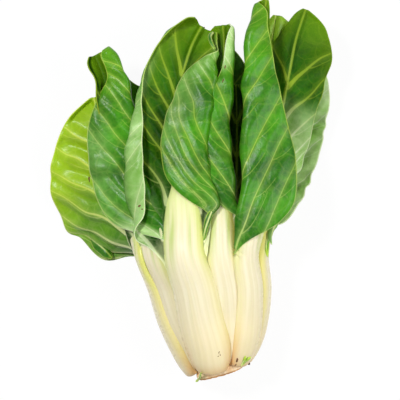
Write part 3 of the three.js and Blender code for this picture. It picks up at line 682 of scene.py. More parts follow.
def leaf_piece(leaf, spacing):
    """One leaf as a closed skin, with the fields that its material reads on each point. Points
    lie spacing apart along the blade, and further apart on the stalk, which is smoother."""
    look = LOOKS[leaf["name"]]
    seed = 100 + 7 * [one["name"] for one in LEAVES].index(leaf["name"])
    start = leaf.get("blade_from", BLADE_STARTS) - 0.03
    length = midrib_table(leaf)[1]
    rounded = np.array([0, 0.15, 0.5, 1, 1.8, 3, STALK_END_ROUND]) / length
    stalk_rows = np.linspace(rounded[-1], start, int(length * start / (2.2 * spacing)))[1:]
    blade_rows = np.linspace(start, 1, int(length * (1 - start) / spacing))[1:]
    t = np.concatenate([rounded, stalk_rows, blade_rows])
    widest = max(row[1] for name in ("left", "right") for row in leaf[name]["reach"])
    grid = leaf_grid(leaf, t, over_stalk=max(5, round(leaf["half_width"] / (2 * spacing))),
                     over_blade=round(widest / (1.15 * spacing)))
    middle, outer_skin, inner_skin, veins = relief(grid, look, seed)
    spots = grid["spots"] + surface_normals(grid["spots"]) * middle[..., None]
    normals = surface_normals(spots)

    end = 1 - (1 - np.clip(grid["v"] / STALK_END_ROUND, 0, 1)) ** 2
    bulge = np.maximum(grid["thick"] - BLADE_THICKNESS, 0)
    bulge = bulge * np.clip(1 - (grid["s"] / grid["half"]) ** 2, 0, 1) ** STALK_ROUNDNESS
    thin = np.where(grid["margin"] < 1e-6, MARGIN_THINNING, 1)
    rounding = np.sqrt(np.clip(end, 0.02, 1))
    outer = (BLADE_THICKNESS / 2 * thin + bulge * STALK_OUTER_SHARE + outer_skin) * rounding
    inner = (BLADE_THICKNESS / 2 * thin + bulge * (1 - STALK_OUTER_SHARE) + inner_skin) * rounding
    skins = [spots + normals * outer[..., None], spots - normals * inner[..., None]]
    sunk = np.maximum(FLOOR_GAP - np.minimum(skins[0][..., 2], skins[1][..., 2]), 0)
    for skin in skins:
        skin[..., 2] += sunk
    fields = dict(
        place=[grid["t"], grid["blade"], tone_and_painted_light(grid, look)],
        tissue=[abs(grid["s"]) - grid["half"] - 2 * (1 - smooth(grid["reach"] / 4)), grid["margin"],
                shaded_edge_yellow(grid, look)],
        side_vein=[veins[0], abs(veins[0]), veins[1]],
        branch_vein=[veins[2], abs(veins[2]), veins[3]],
        stalk=[(grid["t"] - grid["start"]) * grid["length"], grid["s"] / grid["half"], 0 * grid["s"]],
    )
    return skin_mesh(leaf["name"] + "_fresh", skins, fields, grid["s"], grid["v"])


def place_object(name, data):
    """Puts a mesh, a lamp or a camera into the scene, with its origin at the part's origin."""
    piece = bpy.data.objects.new(name, data)
    bpy.context.scene.collection.objects.link(piece)
    return piece


def skin_mesh(name, skins, fields, across, along_leaf):
    """A closed mesh from an outer and an inner grid of points, with a material slot for each."""
    m, n = skins[0].shape[:2]
    index = np.arange(2 * m * n).reshape(2, m, n)
    outer, inner = index
    strip = lambda a, b, c, d: np.stack([a, b, c, d], -1).reshape(-1, 4)
    faces = np.vstack([
        strip(outer[:-1, :-1], outer[:-1, 1:], outer[1:, 1:], outer[1:, :-1]),
        strip(inner[:-1, :-1], inner[1:, :-1], inner[1:, 1:], inner[:-1, 1:]),
        strip(outer[:-1, 0], outer[1:, 0], inner[1:, 0], inner[:-1, 0]),
        strip(outer[:-1, -1], inner[:-1, -1], inner[1:, -1], outer[1:, -1]),
        strip(outer[0, :-1], inner[0, :-1], inner[0, 1:], outer[0, 1:]),
        strip(outer[-1, :-1], outer[-1, 1:], inner[-1, 1:], inner[-1, :-1]),
    ])
    points = (np.vstack([skin.reshape(-1, 3) for skin in skins]) + HEAD_SHIFT) * MM
    mesh = bpy.data.meshes.new(name)
    mesh.from_pydata(points, [], faces)
    mesh.polygons.foreach_set("use_smooth", np.ones(len(faces), bool))
    quads = (m - 1) * (n - 1)
    slots = np.zeros(len(faces), int)
    slots[quads:2 * quads] = 1
    mesh.polygons.foreach_set("material_index", slots)
    for field, parts in fields.items():
        layer = mesh.attributes.new(field, "FLOAT_VECTOR", "POINT")
        layer.data.foreach_set("vector", np.tile(np.stack(parts, -1).reshape(-1, 3), (2, 1)).ravel())
    corner = np.tile(np.stack([across, along_leaf], -1).reshape(-1, 2), (2, 1)) * MM
    uv = mesh.uv_layers.new(name="leaf_mm")
    uv.data.foreach_set("uv", corner[faces.ravel()].ravel())
    return place_object(name, mesh)


# ---- Materials ----------------------------------------------------------------------------
MIX_FACTOR, MIX_A, MIX_B, MIX_RESULT = 0, 6, 7, 2   # sockets of a Mix node set to colours

# Sizes of the patterns in the tissue, in metres as the shaders take them.
VEIN_WARP, VEIN_WARP_SIZE = 0.006, 100 / 7 * MM     # how the finest veins bend
CROSS_VEINS_APART = 15 * MM
NET_SIZE = 4 * MM            # the finest net of veins
PATCH_SIZE = 40 * MM         # lighter and darker patches of a blade
MOTTLE_SIZE = 5 * MM
CELL_SIZE = 1.8 * MM         # swollen cells that make the blade's skin uneven
STRAND_SIZE = (2.4 * MM, 100 * MM)      # across and along a stalk
STREAK_SIZE = (6 * MM, 150 * MM)        # green between the strands
CUT_STAIN_SIZE = 6 * MM
BUNDLES_APART = 2 * MM       # woody bundles in the cut
CUT_GRAIN_SIZE = 1.2 * MM
STAIN_SIZE = 1.5 * MM        # on dried tissue


def colour(code):
    """A linear colour from an sRGB hex value."""
    parts = [int(code[i:i + 2], 16) / 255 for i in (1, 3, 5)]
    return [c / 12.92 if c <= 0.04045 else ((c + 0.055) / 1.055) ** 2.4 for c in parts] + [1]


def add(tree, kind, inputs=None, **settings):
    """Adds a node. inputs gives sockets, by name or number, a value or another node's socket."""
    made = tree.nodes.new(kind)
    for key, value in settings.items():
        setattr(made, key, value)
    for key, value in (inputs or {}).items():
        if isinstance(value, bpy.types.NodeSocket):
            tree.links.new(value, made.inputs[key])
        else:
            made.inputs[key].default_value = value
    return made


def new_material(name):
    """An empty material, its node tree and the socket that its surface goes into."""
    material = bpy.data.materials.new(name)
    material.use_nodes = True
    tree = material.node_tree
    tree.nodes.clear()
    output = tree.nodes.new("ShaderNodeOutputMaterial")
    return material, tree, output.inputs["Surface"]


def share_of(tree, *factors):
    """The product of numbers, sockets and smooth ramps. A ramp is a tuple: the socket that it
    follows, where it starts and ends and, where they aren't 0 and 1, its values there."""
    result = None
    for factor in factors:
        if isinstance(factor, tuple):
            followed, start, end, *values = factor
            at_start, at_end = values or (0, 1)
            factor = add(tree, "ShaderNodeMapRange", {
                "Value": followed, "From Min": start, "From Max": end, "To Min": at_start, "To Max": at_end,
            }, interpolation_type="SMOOTHSTEP").outputs[0]
        if result is not None:
            factor = add(tree, "ShaderNodeMath", {0: result, 1: factor}, operation="MULTIPLY").outputs[0]
        result = factor
    return result


def sum_of(tree, *terms):
    """The sum of some products, each a list of its factors."""
    result = share_of(tree, *terms[0])
    for factors in terms[1:]:
        term = share_of(tree, *factors)
        result = add(tree, "ShaderNodeMath", {0: result, 1: term}, operation="ADD").outputs[0]
    return result


def layered(tree, base, *layers):
    """Lays colours over a base. Each layer is a colour, then the factors of its share. A colour
    is an sRGB hex value or a socket."""
    ready = lambda shade: colour(shade) if isinstance(shade, str) else shade
    below = ready(base)
    for over, *factors in layers:
        below = add(tree, "ShaderNodeMix", {
            MIX_FACTOR: share_of(tree, *factors), MIX_A: below, MIX_B: ready(over),
        }, data_type="RGBA").outputs[MIX_RESULT]
    return below


def fresh_leaf(name, dark, light, vein, tip, tip_from, gloss, rough, foot_pale):
    """One side of a fresh chard leaf: a waxy green blade on a watery white stalk. The upper side
    is smooth and half glossy, so broad soft highlights break up over veins and swellings; the
    underside is duller, with stronger veins. dark and light are the blade's patches, tip the
    colour past tip_from of its length, and foot_pale how pale it is at its foot."""
    material, tree, surface = new_material(name)
    node, share, total, painted = (partial(way, tree) for way in (add, share_of, sum_of, layered))
    fields = {}
    for field in ("place", "tissue", "side_vein", "branch_vein", "stalk"):
        read = node("ShaderNodeAttribute", attribute_name=field)
        fields[field] = node("ShaderNodeSeparateXYZ", {0: read.outputs["Vector"]}).outputs
    t, blade_share, pale = fields["place"]
    rib, margin, yellow = fields["tissue"]
    past_start, stalk_share, _ = fields["stalk"]
    off_centre = node("ShaderNodeMath", {0: stalk_share}, operation="ABSOLUTE").outputs[0]
    leaf_mm = node("ShaderNodeUVMap", uv_map="leaf_mm").outputs[0]

    # Side veins and branches: pale lines, broad at the midrib and hair thin at the margin. The
    # distance with its sign draws the line, and the one without keeps it off the places where
    # the sign jumps.
    broader_at_foot = share((past_start, 5, 75, 0.9 * foot_pale, 0))
    drawn = []
    for signed, distance, width in (fields["side_vein"], fields["branch_vein"]):
        off_line = node("ShaderNodeMath", {0: signed}, operation="ABSOLUTE").outputs[0]
        width = total([width], [broader_at_foot])
        drawn.append(share((total([off_line], [width, -1]), -0.35, 0.4, 1, 0),
                           (total([distance], [width, -1]), 0.9, 1.6, 1, 0)))
    lines = node("ShaderNodeMath", {0: drawn[0], 1: share(drawn[1], 0.6)}, operation="MAXIMUM").outputs[0]
    side_vein = share(lines, total([0.85], [blade_share, -0.4]))
    _, distance, width = fields["side_vein"]
    past_vein = total([distance], [width, -1])

    # The net between them: cross veins, and a finer net.
    warp = node("ShaderNodeTexNoise", {"Vector": leaf_mm, "Scale": 1 / VEIN_WARP_SIZE, "Detail": 2})
    warped = node("ShaderNodeMix", {0: VEIN_WARP, 4: leaf_mm, 5: warp.outputs["Color"]}, data_type="VECTOR")
    bent = warped.outputs[1]
    cross = node("ShaderNodeTexVoronoi", {"Vector": bent, "Scale": 1 / CROSS_VEINS_APART},
                 feature="DISTANCE_TO_EDGE")
    net = node("ShaderNodeTexVoronoi", {"Vector": bent, "Scale": 1 / NET_SIZE}, feature="DISTANCE_TO_EDGE")
    cross_vein = share((cross.outputs["Distance"], 0.015, 0.07, 1, 0))
    fine_net = share((net.outputs["Distance"], 0.0, 0.14, 1, 0))

    # Blade tissue: patches some centimetres wide, paler beside the veins and along the margin.
    # Where pale is set, it is also painted darker or paler: painted shade and painted light.
    patches = node("ShaderNodeTexNoise", {"Vector": leaf_mm, "Scale": 1 / PATCH_SIZE, "Detail": 2}).outputs[0]
    mottle = node("ShaderNodeTexNoise", {"Vector": leaf_mm, "Scale": 1 / MOTTLE_SIZE, "Detail": 4}).outputs[0]
    mixed = share((total([patches, 0.75], [mottle, 0.25]), 0.36, 0.66))
    toward_tip = total([t], [blade_share, 0.1])
    # The veins whiten with pale as well, so they share its painted light.
    vein = painted(
        vein,
        ("#e9eec6", (past_start, 10, 90, 0.2 + 0.6 * foot_pale, 0)),
        ("#e6eecb", (pale, 0, 1)),
    )
    pale_tissue_and_painted_light = painted("#88b954", ("#b8d791", mixed))
    blade = painted(
        dark,
        (light, mixed),
        (tip, (toward_tip, tip_from, tip_from + 0.25, 0, 0.6)),
        # Dark green below 0 and pale green above it: the blade's own tone, and also painted shade and painted
        # light.
        ("#0d3800", (pale, 0, -1)),
        (pale_tissue_and_painted_light, (pale, 0, 1)),
        (vein, (past_vein, 0, 4, 1, 0), 0.135),
        (vein, fine_net, 0.03),
        (vein, cross_vein, 0.06),
        (vein, side_vein, 0.8),
        (vein, (margin, 0.3, 1.3, 0.7, 0)),
    )

    # Stalk tissue: cream with fine lengthwise strands, tan at the foot, greener towards the
    # blade, and painted yellow at its edges as painted shade of the gaps between stalks. Up the leaf it
    # narrows into the midrib.
    stretched = []
    for across, lengthwise in (STRAND_SIZE, STREAK_SIZE):
        place = node("ShaderNodeMapping", {"Vector": leaf_mm, "Scale": (1 / across, 1 / lengthwise, 1)})
        stretched.append(node("ShaderNodeTexNoise", {"Vector": place.outputs[0], "Scale": 1, "Detail": 1}))
    strands, streaks = (made.outputs[0] for made in stretched)
    rim = share((off_centre, 0.45, 1.0))
    midrib = painted("#d3dc90", (painted(vein, (blade, 0.25)), (t, 0.42, 0.75)))
    stalk = painted(
        "#e5ddc0",
        ("#dcd3ae", (strands, 0.3, 0.7)),
        ("#dccca0", (t, 0.02, 0.26, 0.7, 0)),
        ("#d2a468", (t, 0.0, 0.045, 0.6, 0)),
        ("#cf9a5a", rim, (t, 0.02, 0.16, 0.65, 0)),
        ("#b9cf5e", rim, (past_start, -45, 15), 0.75),
        ("#a3bf4e", (streaks, 0.46, 0.6), (past_start, -25, 20, 0, 0.7), (off_centre, 0.15, 0.5)),
        # Painted shade: yellow on the stalk's edges, where they lie in the gaps between stalks.
        ("#e3d65a", yellow, 0.85),
        (midrib, (past_start, 5, 70)),
    )

    # The blade's foot is pale where its ribs rise out of the stalk.
    blade = painted(blade, ("#e3e7b0", (rib, 1, 13, 1, 0), (past_start, 0, 42, 1, 0),
                            (past_vein, 0.6, 2.6, foot_pale, 0.3 * foot_pale)))
    on_blade = share((rib, -0.6, 0.9))
    base = painted(stalk, (blade, on_blade))

    # Relief too fine for the mesh: swollen cells and the net's grooves on the blade, and fine
    # strands on the stalk.
    cells = node("ShaderNodeTexVoronoi", {"Vector": bent, "Scale": 1 / CELL_SIZE}, feature="SMOOTH_F1")
    swollen = total([cells.outputs["Distance"], -0.35], [cross_vein, -0.25], [fine_net, -0.15])
    height = total([swollen, on_blade], [strands, total([0.05], [on_blade, -0.05])])
    bump = node("ShaderNodeBump", {"Height": height, "Strength": 0.35, "Distance": 0.0006}).outputs[0]
    roughness = total([0.2], [on_blade, rough - 0.2], [mottle, 0.16])
    leaf = node("ShaderNodeBsdfPrincipled", {
        "Base Color": base, "Roughness": roughness, "Normal": bump, "IOR": 1.45, "Specular IOR Level": gloss,
        "Subsurface Weight": 0.12, "Subsurface Radius": (0.002, 0.003, 0.001), "Subsurface Scale": 1.0,
    })
    tree.links.new(leaf.outputs[0], surface)
    return material


def cut_stem_tissue():
    """Knife-cut stem: moist cream pith in a ring of woody bundles, dried orange and brown where
    the air has reached it. The face is dull and slightly rough; the torn rim is darker."""
    material, tree, surface = new_material("cut_chard_stem")
    node, total, painted = (partial(way, tree) for way in (add, sum_of, layered))
    place = node("ShaderNodeAttribute", attribute_name="cut")       # radius and height in mm
    radius, height, _ = node("ShaderNodeSeparateXYZ", {0: place.outputs["Vector"]}).outputs
    face_mm = node("ShaderNodeUVMap", uv_map="leaf_mm").outputs[0]
    stains, grain = (
        node("ShaderNodeTexNoise", {"Vector": face_mm, "Scale": 1 / size, "Detail": detail}).outputs[0]
        for size, detail in ((CUT_STAIN_SIZE, 4), (CUT_GRAIN_SIZE, 3)))
    bundles = node("ShaderNodeTexVoronoi", {"Vector": face_mm, "Scale": 1 / BUNDLES_APART}).outputs[0]
    ring = total([radius], [stains, 5], [-2.5])
    # The side wall is painted lighter than the cut: painted light on a side that faces away from the lamps.
    wall_with_painted_light = painted("#fbe6c2", ("#f2cb98", (stains, 0.35, 0.65)))
    tissue = painted(
        "#ecd9a6",
        ("#e4b96f", (ring, 5, 11)),
        ("#d89b52", (ring, 14, 19)),
        ("#8d5a2b", (ring, 19, 22, 0, 0.75)),
        ("#a9763a", (bundles, 0.12, 0.3, 1, 0), (ring, 7, 12), 0.5),   # bundles show as dark dots
        (wall_with_painted_light, (height, 0.8, 2.0)),
        ("#b97f4a", (stains, 0.66, 0.78, 0, 0.4)),
    )
    bump = node("ShaderNodeBump", {"Height": grain, "Strength": 0.5, "Distance": 0.0005}).outputs[0]
    pith = node("ShaderNodeBsdfPrincipled", {
        "Base Color": tissue, "Roughness": 0.62, "Normal": bump, "IOR": 1.42, "Specular IOR Level": 0.3,
    })
    tree.links.new(pith.outputs[0], surface)
    return material


def dried_tissue(name, light, dark):
    """Dried leaf scars and torn fibres: papery, with darker stains and no gloss."""
    material, tree, surface = new_material(name)
    node = partial(add, tree)
    place = node("ShaderNodeTexCoord").outputs["Object"]
    stains = node("ShaderNodeTexNoise", {"Vector": place, "Scale": 1 / STAIN_SIZE, "Detail": 3}).outputs[0]
    brown = layered(tree, light, (dark, stains))
    bump = node("ShaderNodeBump", {"Height": stains, "Strength": 0.4, "Distance": 0.0003}).outputs[0]
    papery = node("ShaderNodeBsdfPrincipled", {"Base Color": brown, "Roughness": 0.75, "Normal": bump})
    tree.links.new(papery.outputs[0], surface)
    return material


# ---- Ribbons: sprout leaflets and curled bits of blade ------------------------------------
# Each row is a guide point: x, y, z, half width, facing and cup, in mm and degrees.
SPROUTS = {
    "sprout_right": [
        [[13, 10, 63.5, 0.5, 100, 30], [14.6, 13.5, 65.6, 1.7, 95, 60], [16.2, 16.5, 67.8, 1.5, 90, 80],
         [17, 19.6, 68.8, 0.15, 88, 30]],
        [[13, 10, 63.5, 0.5, 60, 30], [16, 13.6, 64.8, 1.6, 70, 60], [19.4, 16.4, 65.4, 1.5, 75, 80],
         [22, 18.4, 65.4, 0.15, 80, 30]],
    ],
    "sprout_left": [
        [[-24.5, -3, 50, 0.6, 120, 30], [-24.2, -0.6, 58, 1.6, 118, 70], [-23.4, 2.4, 66, 1.5, 112, 90],
         [-22.4, 5.2, 73, 0.15, 108, 30]],
        [[-24.5, -3, 50, 0.6, 140, 30], [-25.6, -3.4, 54, 1.5, 145, 60], [-26.6, -3.6, 58, 1.2, 150, 70],
         [-27.2, -3.8, 61.4, 0.15, 150, 30]],
    ],
}
# The leaf each curled bit belongs to, its tissue, how pale it is, and its guide points.
CURLS = {
    "front_leaf_tip_curl": ("front_leaf", "deep", 0.15, [
        [-11.5, 306, 66.5, 1.0, 60, 60], [-13.5, 303, 70.5, 3.0, 50, 110], [-13, 298, 75.5, 3.4, 40, 130],
        [-10, 290.5, 77.5, 1.6, 40, 90]]),
    "front_leaf_foot_ribbon": ("front_leaf", "deep", 0.1, [
        [-12.5, 149, 88, 1.5, 80, 30], [-15.5, 142, 90, 3.2, 70, 50], [-18.5, 133, 90, 2.7, 105, 60],
        [-20.5, 122, 89, 2.0, 85, 40], [-20, 112, 86, 0.4, 80, 30]]),
    "outer_left_leaf_twist": ("outer_left_leaf", "deep", 0.1, [
        [-124, 121.5, 1.6, 2.5, 90, 20], [-117, 116, 4.5, 6.5, 85, 40], [-109.5, 109.5, 7.5, 6.5, 75, 60],
        [-104.5, 103.5, 6, 1.0, 60, 40]]),
    "upper_right_leaf_foot_curl": ("upper_right_leaf", "deep", 0.5, [
        [46, 139, 66, 0.8, 80, 40], [42, 133, 68, 5.0, 60, 90], [40, 126, 67, 4.8, 40, 110],
        [40.5, 118, 63, 0.6, 20, 60]]),
    "upper_right_leaf_stalk_frill": ("upper_right_leaf", "sprout", 0.0, [
        [38, 128, 64, 0.6, 90, 30], [35.5, 121, 66, 3.0, 100, 60], [35.5, 114, 65, 2.4, 100, 60],
        [37, 107, 61, 0.3, 90, 30]]),
}
# Dried marks: x, y, half length, half width and turn in mm and degrees, laid on what lies below.
SCARS = [
    [9.4, 15.6, 2.2, 0.9, 80], [20.3, 10.4, 1.3, 1.0, 0], [8.2, 11.2, 1.6, 0.5, 60],
    [-6.7, 23.6, 1.2, 0.35, 70], [-5.6, 21.4, 1.0, 0.3, 110], [-7.4, 20.2, 0.8, 0.3, 40],
    [-1.3, 275, 1.9, 0.55, 80], [-3.1, 262.5, 2.0, 0.5, 70], [-76.7, 152.3, 1.4, 0.9, 30],
    [-74.2, 149.4, 0.8, 0.6, 0], [-124.2, 176.4, 3.0, 0.8, 95], [-20, 312, 1.2, 0.6, 20],
]


RIBBON_ROWS, RIBBON_COLUMNS = 26, 13
RIBBON_SKIN = 0.3            # from a ribbon's middle surface to each of its skins
NO_STALK = 200               # further past the blade's start than any stalk colour reaches


def ribbon(name, rows, pale=0.0):
    """A narrow cupped blade along its guide points, as a closed skin that leaf materials fit."""
    points = np.array(rows, float)
    steps = np.linalg.norm(np.diff(points[:, :3], axis=0), axis=1)
    lengths = np.concatenate([[0], np.cumsum(steps)])
    shares = lengths / lengths[-1]
    t = np.linspace(0, 1, RIBBON_ROWS)
    point, outward, sideways = midrib_frames(np.column_stack([shares, points[:, :3], points[:, 4]]), t)
    read = lambda column: through(np.column_stack([shares, points[:, column]]), t, level=True)
    half, cup = np.maximum(read(3), 0.12), np.radians(np.maximum(read(5), 5))
    across = np.linspace(-1, 1, RIBBON_COLUMNS)[None]
    out, up = half * np.sin(cup * across) / cup, half * (np.cos(cup * across) - 1) / cup
    spots = point[:, None] + sideways[:, None] * out[..., None] + outward[:, None] * up[..., None]
    normals = surface_normals(spots)
    s, v = half * across, (t * lengths[-1])[:, None] + 0 * out
    none, far = 0 * s, np.full_like(s, FAR)
    fields = dict(
        place=[t[:, None] + none, abs(across) + none, none + pale],
        tissue=[abs(s) - 0.35, half - abs(s), none],
        side_vein=[far, far, none], branch_vein=[far, far, none],
        stalk=[none + NO_STALK, across + none, none],
    )
    lift = normals * RIBBON_SKIN
    return skin_mesh(name, [spots + lift, spots - lift], fields, s, v)


# ---- The cut end --------------------------------------------------------------------------
# The stem's outline in the plane of its axis: radius, height above the cut.
STEM_OUTLINE = [
    [0, 0], [3, 0.1], [6, 0], [9, 0.12], [12, 0], [15, 0.15], [17.5, 0.05], [19.3, 0.1], [20.4, 0.5],
    [21.1, 1.4], [21.4, 2.6], [21.5, 4], [21.2, 5.6], [20, 8], [17, 11], [12, 14], [6, 16.2], [0, 17],
]
STEM_AROUND = 128
RIM_ROWS = slice(7, 12)      # the torn rim, where fibres stand
SAME_POINT = 1e-6            # metres between points that are one


def stem_grid():
    """Points of the stem's skin, row by row from the middle of the cut to the growing point,
    with their distance from the axis, their height above the cut and their turn round it."""
    turn = np.linspace(0, 2 * math.pi, STEM_AROUND, endpoint=False)[None]
    radius, height = np.hsplit(np.array(STEM_OUTLINE, float), 2)
    lobes = 0.5 * np.cos(5 * turn + 0.6) + 0.35 * np.cos(8 * turn + 2) + 0.18 * np.cos(23 * turn)
    outer = smooth((radius - 12) / 8)
    wide = radius + lobes * outer * smooth((9 - height) / 4)
    torn = 0.35 * noise(turn * 21, radius + 0 * turn, 1.6, 77) * outer
    high = height + torn * smooth((7 - height) / 4)
    tilt = math.radians(CUT_TILT)
    along_x, along_z = np.array([math.cos(tilt), math.sin(tilt), 0]), np.array([0, 0, 1.0])
    axis = np.array([-math.sin(tilt), math.cos(tilt), 0])
    centre = np.array([*CUT_CENTRE, STEM_HEIGHT])
    flat = (along_x * (wide * np.cos(turn))[..., None] + along_z * (wide * np.sin(turn))[..., None])
    return centre + flat + axis * high[..., None], wide, high, turn


def turned_mesh(name, spots):
    """A mesh of rows of points that each run once round an axis, and its faces."""
    rows, columns = spots.shape[:2]
    index = np.arange(rows * columns).reshape(rows, columns)
    ahead = np.roll(index, -1, axis=1)
    quads = np.stack([index[:-1], ahead[:-1], ahead[1:], index[1:]], -1).reshape(-1, 4)
    mesh = bpy.data.meshes.new(name)
    mesh.from_pydata((spots.reshape(-1, 3) + HEAD_SHIFT) * MM, [], quads)
    return mesh, quads


def stem_piece():
    """The short stem, from the knife cut to the growing point between the stalks."""
    spots, wide, high, turn = stem_grid()
    mesh, quads = turned_mesh("stem_cut", spots)
    cut = mesh.attributes.new("cut", "FLOAT_VECTOR", "POINT")
    cut.data.foreach_set("vector", np.stack([wide, high, 0 * wide], -1).ravel())
    flat = np.stack([wide * np.cos(turn), wide * np.sin(turn)], -1).reshape(-1, 2) * MM
    mesh.uv_layers.new(name="leaf_mm").data.foreach_set("uv", flat[quads.ravel()].ravel())
    tidy_mesh(mesh)
    return place_object("stem_cut", mesh)


def tidy_mesh(mesh):
    """Merges doubled points, drops faces without area and turns the faces outward."""
    edit = bmesh.new()
    edit.from_mesh(mesh)
    bmesh.ops.remove_doubles(edit, verts=edit.verts, dist=SAME_POINT)
    bmesh.ops.dissolve_degenerate(edit, edges=edit.edges, dist=SAME_POINT / 10)
    bmesh.ops.recalc_face_normals(edit, faces=edit.faces)
    edit.to_mesh(mesh)
    edit.free()
    mesh.polygons.foreach_set("use_smooth", np.ones(len(mesh.polygons), bool))


def fibre_tree(material):
    """Geometry Nodes: slivers of torn fibre standing on a surface."""
    tree = bpy.data.node_groups.new("torn_fibres", "GeometryNodeTree")
    socket = tree.interface.new_socket
    socket("Surface", in_out="INPUT", socket_type="NodeSocketGeometry")
    sizes = {
        "Fibres per square metre": 5.0e5,
        "Fibre length": 2.6 * MM,
        "Fibre radius": 0.16 * MM,
    }
    named = {name: socket(name, in_out="INPUT", socket_type="NodeSocketFloat") for name in sizes}
    socket("Fibres", in_out="OUTPUT", socket_type="NodeSocketGeometry")
    given = add(tree, "NodeGroupInput").outputs
    spread = add(tree, "GeometryNodeDistributePointsOnFaces",
                 {"Mesh": given["Surface"], "Density": given["Fibres per square metre"], "Seed": 4})
    sliver = add(tree, "GeometryNodeMeshCone", {
        "Vertices": 5, "Radius Top": 0.02 * MM, "Radius Bottom": given["Fibre radius"],
        "Depth": given["Fibre length"]}, fill_type="TRIANGLE_FAN")
    lean = add(tree, "FunctionNodeRandomValue", {0: (-0.7, -0.7, 0.0), 1: (0.7, 0.7, 6.0), "Seed": 9},
               data_type="FLOAT_VECTOR")
    lean = add(tree, "FunctionNodeEulerToRotation", {"Euler": lean.outputs[0]})
    leaning = add(tree, "FunctionNodeRotateRotation", {
        "Rotation": spread.outputs["Rotation"], "Rotate By": lean.outputs[0]}, rotation_space="LOCAL")
    size = add(tree, "FunctionNodeRandomValue", {2: 0.35, 3: 1.2, "Seed": 15}, data_type="FLOAT")
    placed = add(tree, "GeometryNodeInstanceOnPoints", {
        "Points": spread.outputs["Points"], "Instance": sliver.outputs["Mesh"],
        "Rotation": leaning.outputs[0], "Scale": size.outputs[1]})
    real = add(tree, "GeometryNodeRealizeInstances", {0: placed.outputs[0]})
    done = add(tree, "GeometryNodeSetMaterial", {"Geometry": real.outputs[0], "Material": material})
    add(tree, "NodeGroupOutput", {"Fibres": done.outputs[0]})
    return tree, {named[name].identifier: value for name, value in sizes.items()}


def fibre_piece(material):
    """Torn fibres on the rim of the cut."""
    band, _ = turned_mesh("rim_band", stem_grid()[0][RIM_ROWS])
    holder = place_object("rim_band", band)
    tree, values = fibre_tree(material)
    nodes = holder.modifiers.new("torn_fibres", "NODES")
    nodes.node_group = tree
    for identifier, value in values.items():
        nodes[identifier] = value
    shape = holder.evaluated_get(bpy.context.evaluated_depsgraph_get())
    mesh = bpy.data.meshes.new_from_object(shape)
    holder.modifiers.clear()
    bpy.data.objects.remove(holder)
    mesh.name = "stem_torn_fibres"
    return place_object("stem_torn_fibres", mesh)


SCAR_AROUND, SCAR_RINGS = 14, [0.5, 0.8, 1.0]   # points round a scar, and shares of its size
SCAR_EDGE, SCAR_CROWN = 0.08, 0.22   # how far the edge stands up, and the middle above that
SCAR_ROOT = 0.3              # how deep a scar is sunk
ABOVE_ALL, MIDWAY = 150, 50  # heights over every leaf, and in the middle of the head


def skin_below(skins, x, y):
    """The highest point of the skins under x, y, or one midway up where there is no skin."""
    start, midway = ((Vector((x, y, z)) + Vector(HEAD_SHIFT)) * MM for z in (ABOVE_ALL, MIDWAY))
    hits = [skin.ray_cast(start, Vector((0, 0, -1)))[0] for skin in skins]
    return max((hit for hit in hits if hit is not None), key=lambda hit: hit.z, default=midway)


def scar_piece(name, on_pieces):
    """Thin dried patches, each laid on the skin under it."""
    skins = [BVHTree.FromPolygons([v.co for v in one.data.vertices],
                                  [list(p.vertices) for p in one.data.polygons]) for one in on_pieces]
    around, rings, rim = SCAR_AROUND, SCAR_RINGS, len(SCAR_RINGS) - 1
    turn = np.linspace(0, 2 * math.pi, around, endpoint=False)
    draw = np.random.default_rng(21)
    points, faces = [], []
    for x, y, long, wide, turned in SCARS:
        uneven = draw.uniform(0.75, 1.15, around)
        cos, sin = math.cos(math.radians(turned)), math.sin(math.radians(turned))
        spots = [(0.0, 0.0, 1.0)]
        for share in rings:
            a, b = long * share * uneven * np.cos(turn), wide * share * uneven * np.sin(turn)
            spots += [(dx, dy, 1 - share) for dx, dy in zip(a * cos - b * sin, a * sin + b * cos)]
        first, span = len(points), len(spots)
        ground = [skin_below(skins, x + dx, y + dy) for dx, dy, _ in spots]
        points += [low + Vector((0, 0, (SCAR_EDGE + SCAR_CROWN * raised ** 0.5) * MM))
                   for low, (_, _, raised) in zip(ground, spots)]
        points += [low - Vector((0, 0, SCAR_ROOT * MM)) for low in ground]
        at = lambda layer, k, i: first + layer + 1 + k * around + i % around
        for i in range(around):
            for layer, order in ((0, 1), (span, -1)):
                faces.append([first + layer, at(layer, 0, i), at(layer, 0, i + 1)][::order])
                for k in range(rim):
                    corners = ((k, i), (k + 1, i), (k + 1, i + 1), (k, i + 1))
                    faces.append([at(layer, *corner) for corner in corners][::order])
            faces.append([at(0, rim, i), at(span, rim, i), at(span, rim, i + 1), at(0, rim, i + 1)])
    mesh = bpy.data.meshes.new(name)
    mesh.from_pydata(points, [], faces)
    mesh.polygons.foreach_set("use_smooth", np.ones(len(faces), bool))
    return place_object(name, mesh)


